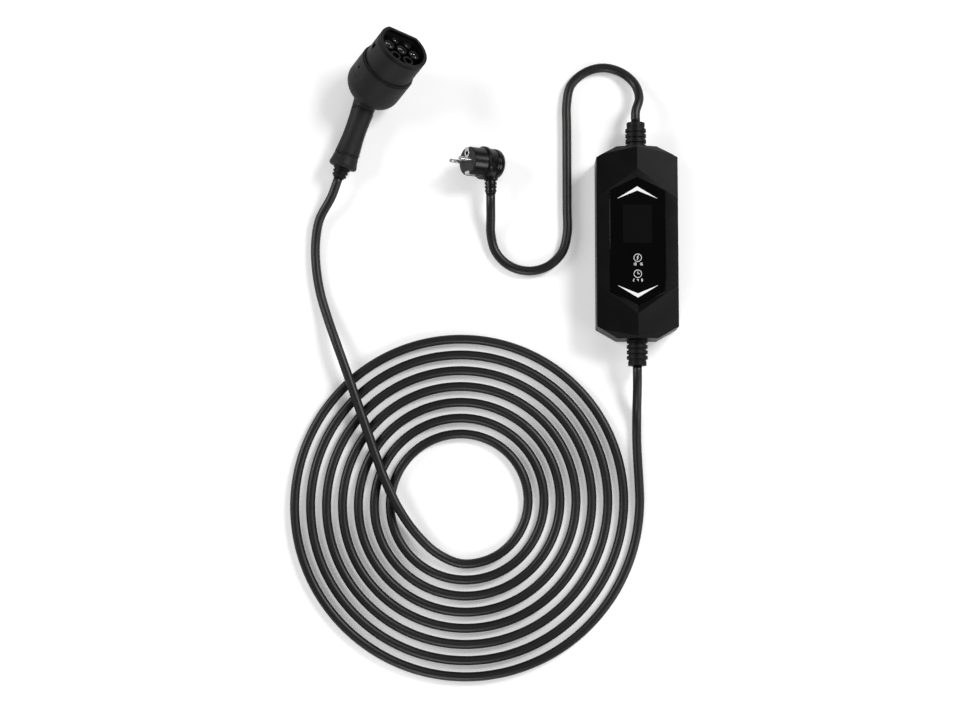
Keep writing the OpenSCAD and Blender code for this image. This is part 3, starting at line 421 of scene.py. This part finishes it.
def gloss(name, colour, rough):
    """Polished plastic: deep colour, faint wiping marks in the gloss."""
    material, wire, shader = blank(name, Coat_Roughness=0.04, Specular_IOR_Level=0.25)
    at = place(wire)
    broad = noise(wire, at, SHEEN_SCALE, 3)
    wipe = noise(wire, place(wire, ACROSS_WIPES), WIPE_SCALE, 2)
    plug(wire.tree, shader.inputs["Base Color"],
         tint(wire, broad, shade(colour, 0.7), shade(colour, 1.4)))
    plug(wire.tree, shader.inputs["Roughness"], uneven(rough, (broad, 0.06), (wipe, 0.05)))
    plug(wire.tree, shader.inputs["Coat Weight"], broad * 0.1 + 0.05)
    plug(wire.tree, shader.inputs["Normal"], relief(wire, broad, FINE_DEPTH, 0.3))
    return material


def plated(name, colour, rough):
    """Plated metal with fine drawing lines and slightly dull patches."""
    material, wire, shader = blank(name, Metallic=1.0)
    lines = noise(wire, place(wire, ALONG_LINES), LINE_SCALE, 3)
    patch = noise(wire, place(wire), PATCH_SCALE, 3)
    plug(wire.tree, shader.inputs["Base Color"],
         tint(wire, patch * 0.7 + lines * 0.3, shade(colour, 0.78), shade(colour, 1.1)))
    plug(wire.tree, shader.inputs["Roughness"], uneven(rough, (patch, 0.16), (lines, 0.1)))
    plug(wire.tree, shader.inputs["Normal"], relief(wire, lines, FINE_DEPTH, 0.5))
    return material


def laminate(name, colour, rough):
    """Circuit board: lacquer over rows of tracks."""
    material, wire, shader = blank(name, Specular_IOR_Level=0.5)
    bands = wire.make("ShaderNodeTexWave", {"wave_type": "BANDS", "bands_direction": "X"},
                      {"Vector": place(wire), "Scale": TRACK_SCALE, "Distortion": 6.0,
                       "Detail": 2.0}, out="Fac")
    tracks = bands > TRACK_LEVEL
    cloud = noise(wire, place(wire), LACQUER_SCALE, 3)
    plug(wire.tree, shader.inputs["Base Color"],
         tint(wire, tracks * 0.7 + cloud * 0.3, shade(colour, 0.7), shade(colour, 1.9)))
    plug(wire.tree, shader.inputs["Roughness"], uneven(rough, (cloud, 0.2)))
    plug(wire.tree, shader.inputs["Normal"], relief(wire, tracks, COARSE_DEPTH))
    return material


def printed(name, colour, rough, speck):
    """Printed ink or a plain glazed field with a slight mottle."""
    material, wire, shader = blank(name, Specular_IOR_Level=0.25)
    mottle = noise(wire, place(wire), MOTTLE_SCALE, 3)
    broad = noise(wire, place(wire), STAIN_SCALE, 2)
    plug(wire.tree, shader.inputs["Base Color"],
         tint(wire, mottle * 0.5 + broad * 0.5, shade(colour, 1 - speck), shade(colour, 1 + speck)))
    plug(wire.tree, shader.inputs["Roughness"], uneven(rough, (mottle, 0.12)))
    return material


def clear_tube(name, colour, deep, rough):
    """Thin clear glass whose tint drifts to a deeper colour."""
    material, wire, shader = blank(name, Transmission_Weight=0.6, IOR=1.5)
    cloud = noise(wire, place(wire), GLASS_SCALE, 2)
    plug(wire.tree, shader.inputs["Base Color"], tint(wire, cloud, deep, colour))
    plug(wire.tree, shader.inputs["Roughness"], uneven(rough, (cloud, 0.1)))
    return material


# Surfaces


def smooth_path(points, step):
    """A path through the points: cubic pieces whose slopes come from the neighbouring chords,
    read off again at equal steps of its own length."""
    points = np.asarray(points, float)
    gaps = np.linalg.norm(np.diff(points, axis=0), axis=1)
    chords = np.diff(points, axis=0) / gaps[:, None]
    share = gaps[:-1] / (gaps[:-1] + gaps[1:])
    inner = chords[:-1] * (1 - share)[:, None] + chords[1:] * share[:, None]
    slopes = np.vstack([chords[:1], inner, chords[-1:]])
    t = np.linspace(0, 1, SPAN_STEPS, endpoint=False)[None, :, None]
    low, high, span = points[:-1, None], points[1:, None], gaps[:, None, None]
    curve = ((1 + 2 * t) * (1 - t) ** 2 * low + t * (1 - t) ** 2 * span * slopes[:-1, None]
             + t * t * (3 - 2 * t) * high + t * t * (t - 1) * span * slopes[1:, None])
    curve = np.vstack([curve.reshape(-1, 3), points[-1:]])
    run = np.concatenate([[0], np.cumsum(np.linalg.norm(np.diff(curve, axis=0), axis=1))])
    stops = np.linspace(0, run[-1], max(2, int(round(run[-1] / step)) + 1))
    return np.stack([np.interp(stops, run, curve[:, axis]) for axis in range(3)], 1), run[-1]


def build(name, vertices, faces, material, smooth=True):
    """A mesh object of an array of points and a list of faces."""
    mesh = bpy.data.meshes.new(name)
    mesh.from_pydata(np.asarray(vertices).reshape(-1, 3).tolist(), [], faces)
    mesh.validate()
    mesh.polygons.foreach_set("use_smooth", np.full(len(mesh.polygons), smooth))
    mesh.materials.append(material)
    obj = bpy.data.objects.new(name, mesh)
    bpy.context.scene.collection.objects.link(obj)
    return obj


def grid_faces(rings, sides, loop):
    """Four-sided faces of a grid that closes round its sides, and along its rings if it loops."""
    ring = np.arange(rings if loop else rings - 1)[:, None]
    side = np.arange(sides)[None, :]
    after, beside = (ring + 1) % rings, (side + 1) % sides
    corners = np.stack([ring * sides + side, ring * sides + beside,
                        after * sides + beside, after * sides + side], -1)
    faces = corners.reshape(-1, 4).tolist()
    if not loop:
        faces.append(list(range(sides - 1, -1, -1)))
        faces.append(list(range((rings - 1) * sides, rings * sides)))
    return faces


def swept(path, across, rise, width, height):
    """A closed profile carried along a path: each ring is the path's point plus the profile's two
    numbers times the side direction (level, square to the path) and the remaining direction."""
    along = np.gradient(path, axis=0)
    along /= np.linalg.norm(along, axis=1)[:, None]
    side = np.cross(UP, along)
    side /= np.linalg.norm(side, axis=1)[:, None]
    top = np.cross(along, side)
    return (path[:, None] + across[None, :, None] * side[:, None] * width
            + rise[None, :, None] * top[:, None] * height)


def tube(name, path, diameter, sides, material):
    """A round cord: a circle carried along the path, with its angle and its run kept as an
    attribute, so that marks follow the cord."""
    angle = np.arange(sides) * 2 * math.pi / sides
    rings = swept(path, np.cos(angle), np.sin(angle), diameter / 2, diameter / 2)
    obj = build(name, rings, grid_faces(len(path), sides, False), material)
    run = np.concatenate([[0], np.cumsum(np.linalg.norm(np.diff(path, axis=0), axis=1))])
    marks = np.empty((len(path), sides, 3))
    marks[..., 0] = np.cos(angle) * diameter / 2
    marks[..., 1] = np.sin(angle) * diameter / 2
    marks[..., 2] = run[:, None]
    layer = obj.data.attributes.new("cord_place", "FLOAT_VECTOR", "POINT")
    layer.data.foreach_set("vector", marks.ravel().astype(np.float32))
    return obj


def plate(name, outline, low, high, material):
    """A flat plate: an outline at its lower and upper height, closed by two faces."""
    outline = np.asarray(outline, float)
    sides = len(outline)
    levels = np.stack([np.column_stack([outline, np.full(sides, z)]) for z in (low, high)])
    return build(name, levels, grid_faces(2, sides, False), material, smooth=False)


def band(path, widths, low, high):
    """Points of a flat band along a level path: four corners a ring, at its half width to each
    side and at two heights."""
    path = np.asarray(path, float)
    along = np.gradient(path, axis=0)
    along /= np.linalg.norm(along, axis=1)[:, None]
    side = np.column_stack([-along[:, 1], along[:, 0]]) * np.asarray(widths)[:, None] / 2
    rings = np.empty((len(path), 4, 3))
    rings[:, (0, 3), :2] = (path - side)[:, None]
    rings[:, (1, 2), :2] = (path + side)[:, None]
    rings[:, :2, 2] = high
    rings[:, 2:, 2] = low
    return rings[:, ::-1]


def merge_pieces(name, parts, material):
    """One object of several rings-by-sides grids, each closed or looped."""
    vertices, faces, base = [], [], 0
    for rings, loop in parts:
        count = rings.shape[0] * rings.shape[1]
        vertices.append(rings.reshape(-1, 3))
        faces += [[base + i for i in face]
                  for face in grid_faces(rings.shape[0], rings.shape[1], loop)]
        base += count
    return build(name, np.vstack(vertices), faces, material, smooth=False)


def softened(node, width, sharp, crease):
    """A copy of a CAD node with its points merged, flat areas joined and its edges rounded.
    Faces that meet at more than the crease angle are shaded apart."""
    work = bmesh.new()
    work.from_mesh(frame["nodes"][node].data)
    bmesh.ops.remove_doubles(work, verts=work.verts, dist=MERGE_DISTANCE)
    bmesh.ops.dissolve_limit(work, angle_limit=FLAT_ANGLE, verts=work.verts, edges=work.edges)
    mesh = bpy.data.meshes.new(node + "_soft")
    work.to_mesh(mesh)
    work.free()
    mesh.polygons.foreach_set("use_smooth", np.ones(len(mesh.polygons), bool))
    mesh.set_sharp_from_angle(angle=math.radians(crease))
    obj = bpy.data.objects.new(node + "_soft", mesh)
    bpy.context.scene.collection.objects.link(obj)
    if width:
        bevel = obj.modifiers.new("soft_edges", "BEVEL")
        bevel.width = width
        bevel.segments = BEVEL_STEPS
        bevel.limit_method = "ANGLE"
        bevel.angle_limit = math.radians(sharp)
        bevel.harden_normals = False
    return obj


# Routes of the cords, in millimetres, as in the part's source, except that the tail climbs onto
# the coil from the end of its innermost turn

MAINS_ROUTE = [
    (0, 146.6, 25), (0, 160, 25), (5, 178, 19), (0, 198, 11), (-16, 213, 7), (-38, 219, 5.5),
    (-60, 213, 5.5), (-77, 197, 5.5), (-82, 174, 5.5), (-82, 148, 5.5), (-82, 122, 5.5),
    (-82, 96, 5.5), (-82, 70, 5.5), (-82, 43, 5.5), (-82, 16, 5.5), (-88, -7, 5.5),
    (-105, -24, 5.5), (-128, -30, 5.5), (-151, -24, 5.5), (-168, -7, 5.5), (-174, 15, 8),
    (-174, 34, 14), (-174.149, 49.6, 19.398), (-174.149, 61.6, 19.398),
]
LEAD_ROUTE = [
    (0, -146.6, 25), (0, -160.2, 25), (0, -180.6, 18.96), (0, -200.15, 9.99), (0, -216.3, 6.1),
    (0, -231.6, 5.5), (0.9, -257, 5.5), (2.3, -283, 5.5),
]
TAIL_ROUTE = [
    (-237, -369, 6.6), (-262, -346, 10.6), (-282, -318, 15.6), (-298, -286, 16.8),
    (-311, -252, 16.8), (-323, -218, 16.8), (-335, -184, 16.8), (-347, -150, 16.8),
    (-359, -117, 15), (-370, -86, 9), (-379, -56, 5.5), (-384, -26, 5.5), (-385, 4, 5.5),
    (-381, 30, 8), (-364.647, 60.922, 14.969), (-357.317, 81.621, 16.313),
]


def lay_cord(name, route, replaced):
    """Makes one cord along a route in metres, no lower than the floor, with the sheath's finish."""
    sizes = bpy.context.scene.charger_cords
    path, length = smooth_path(route, sizes.ring_step)
    path[:, 2] = np.maximum(path[:, 2], sizes.diameter / 2)
    obj = tube(name, path, sizes.diameter, sizes.sides, finish("cord_sheath"))
    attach(obj, BODY)
    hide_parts(*replaced)


def coil_points(sizes):
    """The coil: a flat spiral, clockwise from above, whose radius falls by one pitch a turn."""
    turn = np.linspace(0, sizes.turns, round(sizes.turns * TURN_STEPS) + 1)
    radius = sizes.coil_radius - sizes.pitch * turn
    angle = -2 * math.pi * turn
    return np.column_stack([
        sizes.coil_centre[0] + radius * np.cos(angle),
        sizes.coil_centre[1] + radius * np.sin(angle),
        np.full(len(turn), sizes.diameter / 2)])


# Finishes, made once and shared by their pieces


def nose_lip():
    """The connector's lip: the axis of its middle contact, where the lip starts along it, measured
    back from the rim, and the lip's colour."""
    colours = bpy.context.scene.charger_finishes
    mounts = {mount["name"]: mount for mount in frame["record"]["mounts"]}
    axis = np.array(mounts["power_contact_middle"]["axis"])
    points = np.array([point.co for point in frame["nodes"]["nose_sleeve"].data.vertices])
    return tuple(axis), (points @ axis).max() - colours.lip_length, tuple(colours.lip)


# Finish, its maker, its colour's name and its settings: roughness, grain and depth in metres
FINISH_TABLE = {
    "satin_shell": (moulded, "shell", dict(rough=0.36, grain=0.00035, depth=FINE_DEPTH, shine=0.2)),
    "satin_grip": (moulded, "grip", dict(rough=0.5, grain=0.0004, depth=COARSE_DEPTH)),
    "satin_nose": (moulded, "grip", dict(rough=0.5, grain=0.0004, depth=COARSE_DEPTH, lip=nose_lip)),
    "satin_insulator": (moulded, "rubber", dict(rough=0.5, grain=0.0004, depth=FINE_DEPTH)),
    "polished_panel": (gloss, "panel", dict(rough=0.105)),
    "polished_plug": (moulded, "shell", dict(rough=0.27, grain=0.0004, depth=SMOOTH_DEPTH,
                                             shine=0.34)),
    "dull_rubber": (moulded, "rubber", dict(rough=0.52, grain=0.0005, depth=RUBBER_DEPTH)),
    "cord_sheath": (moulded, "sheath", dict(rough=0.42, grain=0.0006, depth=FINE_DEPTH, shine=0.42,
                                            attribute="cord_place", stretch=ALONG_CORD)),
    "white_ink": (printed, "ink", dict(rough=0.5, speck=0.04)),
    "window_glaze": (printed, "window", dict(rough=0.22, speck=0.15)),
    "grey_face": (moulded, "face", dict(rough=0.45, grain=0.0004, depth=COARSE_DEPTH)),
    "plated_pin": (plated, "pin", dict(rough=0.2)),
    "plated_contact": (plated, "contact", dict(rough=0.24)),
    "sprung_wire": (plated, "spring", dict(rough=0.3)),
    "drawn_can": (plated, "can", dict(rough=0.28)),
    "green_laminate": (laminate, "board", dict(rough=0.35)),
    "dark_case": (moulded, "case", dict(rough=0.45, grain=0.0005, depth=COARSE_DEPTH)),
    "green_block": (moulded, "block", dict(rough=0.4, grain=0.0005, depth=COARSE_DEPTH)),
    "lead_insulation": (moulded, "lead", dict(rough=0.4, grain=0.0006, depth=COARSE_DEPTH)),
    "clear_fuse": (clear_tube, "glass", dict(deep=(0.75, 0.78, 0.77), rough=0.08)),
}


def finish(name):
    """The material of that name, made on first use."""
    if name in bpy.data.materials:
        return bpy.data.materials[name]
    maker, colour, settings = FINISH_TABLE[name]
    return maker(name, tuple(getattr(bpy.context.scene.charger_finishes, colour)), **settings)


SLOT_FINISH = {
    "shell_plastic": "satin_shell", "gloss_panel": "polished_panel", "soft_rubber": "dull_rubber",
    "display_glass": "window_glaze", "spring_steel": "sprung_wire",
    "circuit_board": "green_laminate", "part_plastic": "dark_case", "can_metal": "drawn_can",
    "fuse_glass": "clear_fuse", "terminal_plastic": "green_block",
    "lead_plastic": "lead_insulation", "insulator_plastic": "satin_insulator",
    "contact_metal": "plated_contact", "face_plastic": "grey_face", "pin_metal": "plated_pin",
    "cord_rubber": "cord_sheath",
}
NODE_SLOT = {part["node"]: part["material_slot"] for part in frame["record"]["subparts"]}

NODE_FINISH = {"plug_body": "polished_plug", "nose_sleeve": "satin_nose"}
for grip_node in ("head_housing", "handle_shell", "grip_pad", "end_cap", "side_plate"):
    NODE_FINISH[grip_node] = "satin_grip"


def node_finish(node):
    """The finish of a node: its own, or else its slot's."""
    return finish(NODE_FINISH.get(node, SLOT_FINISH[NODE_SLOT[node]]))


# Housings that get soft edges: edge width in metres, the least angle that counts as an edge and
# the angle over which faces are shaded apart
SOFT_NODES = {
    "upper_shell": (0.0007, 9, 6), "lower_shell": (0.0007, 20, 6), "touch_panel": (0.0004, 40, 30),
    "mains_relief": (0.0005, 30, 38), "charge_relief": (0.0005, 30, 38),
    "head_housing": (0.0004, 35, 38), "nose_sleeve": (0.0007, 35, 38),
    "handle_shell": (0.0003, 40, 38), "end_cap": (0.0006, 20, 38), "gun_gland": (0.0005, 30, 38),
    "side_plate": (0.0006, 35, 38), "plug_body": (0.0006, 30, 38), "plug_face": (0.0003, 40, 38),
    "grip_pad": (0, 30, 38), "plug_pins": (0.0002, 30, 38), "power_towers": (0.0003, 40, 38),
    "signal_towers": (0.0003, 40, 38), "power_contacts": (0.0002, 40, 38),
    "signal_contacts": (0.0002, 40, 38), "contact_insert": (0, 30, 38), "nose_seal": (0.0003, 40, 38),
    "earth_frame": (0.0002, 40, 38), "earth_strip": (0.0002, 40, 38),
}


# Signs of the two keys: strokes in millimetres from the key's middle, and their width in metres

BOLT_STROKES = [[(0.9, 2.6), (-1.1, -0.2)], [(-1.3, 0), (1.3, 0)], [(1.1, 0.2), (-0.9, -2.6)]]
BOLT_LINE = 0.0008
CLOCK_STROKES = [[(0, -0.2), (0, 2.7)], [(-0.2, 0), (2.2, 0)]]
CLOCK_LINE = 0.0007

# Numerals: the grid's corners, the strokes between them and the strokes of each digit, then the
# sizes in metres, and the step and the gap of the digits in widths
DIGIT_CORNERS = np.array([(0, 2), (1, 2), (1, 1), (1, 0), (0, 0), (0, 1)], float)
DIGIT_STROKES = {"a": (0, 1), "b": (1, 2), "c": (2, 3), "d": (3, 4), "e": (4, 5), "f": (5, 0),
                 "g": (5, 2)}
DIGIT_SHAPES = {"0": "abcdef", "1": "bc", "2": "abged", "4": "fgbc", "6": "afgedc",
                "8": "abcdefg"}
DIGIT_WIDE = 0.0013
DIGIT_TALL = 0.0014
DIGIT_LINE = 0.0005
DIGIT_STEP = 1.9
DIGIT_GAP = 0.9


# Operators


class CHARGER_OT_camera(bpy.types.Operator):
    """Places the camera over the laid-out charger."""

    bl_idname = "charger.camera"
    bl_label = "Camera"

    def execute(self, context):
        sizes = context.scene.charger_stage
        elevation = sizes.elevation
        data = bpy.data.cameras.new("studio_camera")
        data.lens = sizes.lens
        data.sensor_width = sizes.sensor
        camera = bpy.data.objects.new("studio_camera", data)
        back = np.array([0, -math.cos(elevation), math.sin(elevation)])
        camera.location = np.array(sizes.aim) + sizes.camera_reach * back
        camera.rotation_euler = (math.pi / 2 - elevation, 0, 0)
        context.scene.collection.objects.link(camera)
        context.scene.camera = camera
        return {"FINISHED"}


class CHARGER_OT_mains_cord(bpy.types.Operator):
    """Lays the short cord from the control box to the mains plug."""

    bl_idname = "charger.mains_cord"
    bl_label = "Mains cord"

    def execute(self, context):
        route = np.array(MAINS_ROUTE) * MM
        lay_cord("mains_cable", route, ["mains_cord"])
        return {"FINISHED"}


class CHARGER_OT_charge_cord(bpy.types.Operator):
    """Lays the long cord: its lead from the box, the flat coil and the tail to the connector."""

    bl_idname = "charger.charge_cord"
    bl_label = "Charging cord"

    def execute(self, context):
        coil = coil_points(context.scene.charger_cords)
        route = np.vstack([np.array(LEAD_ROUTE) * MM, coil, np.array(TAIL_ROUTE) * MM])
        lay_cord("charge_cable", route,
                 ["charge_lead", "charge_coil", "charge_tail"])
        return {"FINISHED"}


class CHARGER_OT_panel_print(bpy.types.Operator):
    """Prints the chevrons, the key rings and their signs on the touch panel."""

    bl_idname = "charger.panel_print"
    bl_label = "Panel print"

    def execute(self, context):
        sizes = context.scene.charger_panel
        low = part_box("touch_panel")[1][2]
        high = low + sizes.print_height
        parts = []
        for tip, way in ((sizes.upper_tip, -1), (sizes.lower_tip, 1)):
            parts.append((self.chevron(sizes, tip, way, low, high), False))
        for key in (sizes.upper_key, sizes.lower_key):
            parts.append((self.ring(sizes, key, low, high), True))
        signs = (self.sign(BOLT_STROKES, BOLT_LINE, sizes.upper_key)
                 + self.sign(CLOCK_STROKES, CLOCK_LINE, sizes.lower_key)
                 + self.numerals("10 16", sizes.upper_key - sizes.numeral_drop)
                 + self.numerals("2 4 8", sizes.lower_key - sizes.numeral_drop))
        for points, line in signs:
            parts.append((band(points, np.full(len(points), line), low, high), False))
        obj = merge_pieces("panel_print", parts, finish("white_ink"))
        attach(obj, BODY)
        return {"FINISHED"}

    @staticmethod
    def chevron(sizes, tip, way, low, high):
        """Two legs that run from thin ends to a thick tip: across is a straight count from -1 to
        1, the outer edge falls with its size and the inner edge closes on it towards the ends."""
        across = np.linspace(-1, 1, CHEVRON_STEPS)
        outer = tip + way * sizes.chevron_rise * np.abs(across)
        thick = sizes.chevron_thick * (1 - np.abs(across)) + sizes.chevron_end
        rings = np.empty((len(across), 4, 3))
        rings[..., 0] = (across * sizes.chevron_half)[:, None]
        rings[:, (0, 1), 1] = outer[:, None]
        rings[:, (2, 3), 1] = (outer + way * thick)[:, None]
        rings[:, (0, 3), 2] = low
        rings[:, (1, 2), 2] = high
        return rings if way < 0 else rings[:, ::-1]

    @staticmethod
    def ring(sizes, key, low, high):
        """A circle carried round the key's place with a flat, four-cornered profile."""
        angle = np.linspace(0, 2 * math.pi, RING_STEPS, endpoint=False)
        radius = sizes.key_radius + np.array([-0.5, 0.5, 0.5, -0.5]) * sizes.key_line
        rings = np.empty((RING_STEPS, 4, 3))
        rings[..., 0] = np.cos(angle)[:, None] * radius
        rings[..., 1] = key + np.sin(angle)[:, None] * radius
        rings[..., 2] = np.array([low, low, high, high])
        return rings[:, ::-1]

    @staticmethod
    def sign(strokes, line, key):
        """A key's sign: straight strokes, in millimetres from the key's middle, and their width."""
        return [(np.array(stroke) * MM + (0, key), line) for stroke in strokes]

    @staticmethod
    def numerals(text, foot):
        """Plain numerals in a row, each of up to seven straight strokes on a grid of two columns
        and three rows. The row's middle lies on the box's middle line."""
        row = (len(text) * DIGIT_STEP - DIGIT_GAP) * DIGIT_WIDE
        lines = []
        for index, digit in enumerate(text):
            left = index * DIGIT_STEP * DIGIT_WIDE - row / 2
            for name in DIGIT_SHAPES.get(digit, ""):
                ends = DIGIT_CORNERS[list(DIGIT_STROKES[name])] * (DIGIT_WIDE, DIGIT_TALL)
                lines.append((ends + (left, foot), DIGIT_LINE))
        return lines


class CHARGER_OT_display_window(bpy.types.Operator):
    """Lays the dark display window on the panel, with rounded corners."""

    bl_idname = "charger.display_window"
    bl_label = "Display window"

    def execute(self, context):
        sizes = context.scene.charger_panel
        angle = (np.arange(WINDOW_STEPS) + 0.5) * 2 * math.pi / WINDOW_STEPS
        corner = sizes.window_corner
        half = np.array(sizes.window_half)
        ends = np.column_stack([np.sign(np.cos(angle)), np.sign(np.sin(angle))])
        outline = ends * (half - corner) + corner * np.column_stack([np.cos(angle), np.sin(angle)])
        outline[:, 1] += sizes.window_middle
        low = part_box("touch_panel")[1][2]
        obj = plate("display_window", outline, low, low + sizes.print_height / 2,
                    finish("window_glaze"))
        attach(obj, BODY)
        return {"FINISHED"}


class CHARGER_OT_housings(bpy.types.Operator):
    """Gives the housings, glands and contacts soft edges."""

    bl_idname = "charger.housings"
    bl_label = "Housings"

    def execute(self, context):
        for node, (width, sharp, crease) in SOFT_NODES.items():
            obj = softened(node, width, sharp, crease)
            obj.data.materials.append(node_finish(node))
            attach(obj, BODY)
            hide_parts(node)
        return {"FINISHED"}


class CHARGER_OT_finishes(bpy.types.Operator):
    """Puts the finishes on the pieces that keep their own shape."""

    bl_idname = "charger.finishes"
    bl_label = "Finishes"

    def execute(self, context):
        for node, obj in frame["nodes"].items():
            if node in SOFT_NODES:
                continue
            obj.data.materials.clear()
            obj.data.materials.append(node_finish(node))
        return {"FINISHED"}


class CHARGER_OT_stage(bpy.types.Operator):
    """Sets the pale floor, the soft lights and the view transform."""

    bl_idname = "charger.stage"
    bl_label = "Stage"

    def execute(self, context):
        sizes = context.scene.charger_stage
        material, wire, shader = blank("studio_floor", Specular_IOR_Level=0.1,
                                       Roughness=sizes.floor_rough, Emission_Strength=1.0)
        cloud = noise(wire, place(wire), FLOOR_SCALE, 2)
        pale = tuple(context.scene.charger_finishes.floor)
        plug(wire.tree, shader.inputs["Base Color"],
             tint(wire, cloud, shade(pale, 0.99), shade(pale, 1.01)))
        seen = wire.make("ShaderNodeLightPath", out="Is Camera Ray")
        plug(wire.tree, shader.inputs["Emission Color"],
             tint(wire, seen, (0, 0, 0), (sizes.floor_glow,) * 3))
        reach = sizes.floor_reach
        corners = [(-reach, -reach, 0), (reach, -reach, 0), (reach, reach, 0), (-reach, reach, 0)]
        floor = build("studio_floor", corners, [[0, 1, 2, 3]], material, smooth=False)
        for lamp in LAMPS:
            self.lamp(context, *lamp)
        world = bpy.data.worlds.new("studio_air")
        world.use_nodes = True
        air = world.node_tree.nodes["Background"]
        air.inputs["Color"].default_value = (1, 1, 1, 1)
        air.inputs["Strength"].default_value = sizes.air
        context.scene.world = world
        context.scene.view_settings.view_transform = "Standard"
        return {"FINISHED"}

    @staticmethod
    def lamp(context, name, at, size, power):
        """A square soft light that faces the middle of the layout."""
        data = bpy.data.lights.new(name, "AREA")
        data.size = size
        data.energy = power
        lamp = bpy.data.objects.new(name, data)
        lamp.location = at
        aim = np.array(context.scene.charger_stage.lamp_aim) - np.array(at)
        flat = math.hypot(aim[0], aim[1])
        lamp.rotation_euler = (math.atan2(flat, -aim[2]), 0, math.atan2(-aim[0], aim[1]))
        context.scene.collection.objects.link(lamp)


class CHARGER_PT_sidebar(bpy.types.Panel):
    """Lists the charger's sizes, colours and pieces."""

    bl_label = "Charger"
    bl_idname = "CHARGER_PT_sidebar"
    bl_space_type = "VIEW_3D"
    bl_region_type = "UI"
    bl_category = "Charger"

    def draw(self, context):
        for group in (getattr(context.scene, name) for name in GROUPS):
            box = self.layout.box()
            for name in group.bl_rna.properties.keys():
                if name not in ("rna_type", "name"):
                    box.prop(group, name)
        for operator in OPERATORS:
            self.layout.operator(operator.bl_idname)


GROUPS = {"charger_cords": CordSizes, "charger_panel": PanelSizes,
          "charger_finishes": Finishes, "charger_stage": StageSizes}
OPERATORS = (
    CHARGER_OT_camera, CHARGER_OT_housings, CHARGER_OT_mains_cord, CHARGER_OT_charge_cord,
    CHARGER_OT_panel_print, CHARGER_OT_display_window, CHARGER_OT_finishes, CHARGER_OT_stage,
)


def register():
    for name, group in GROUPS.items():
        bpy.utils.register_class(group)
        setattr(bpy.types.Scene, name, bpy.props.PointerProperty(type=group))
    for cls in (*OPERATORS, CHARGER_PT_sidebar):
        bpy.utils.register_class(cls)


def unregister():
    for cls in reversed((*OPERATORS, CHARGER_PT_sidebar)):
        bpy.utils.unregister_class(cls)
    for name, group in GROUPS.items():
        delattr(bpy.types.Scene, name)
        bpy.utils.unregister_class(group)


def main():
    register()
    for operator in OPERATORS:
        group, name = operator.bl_idname.split(".")
        getattr(getattr(bpy.ops, group), name)()


if __name__ == "__main__":
    main()
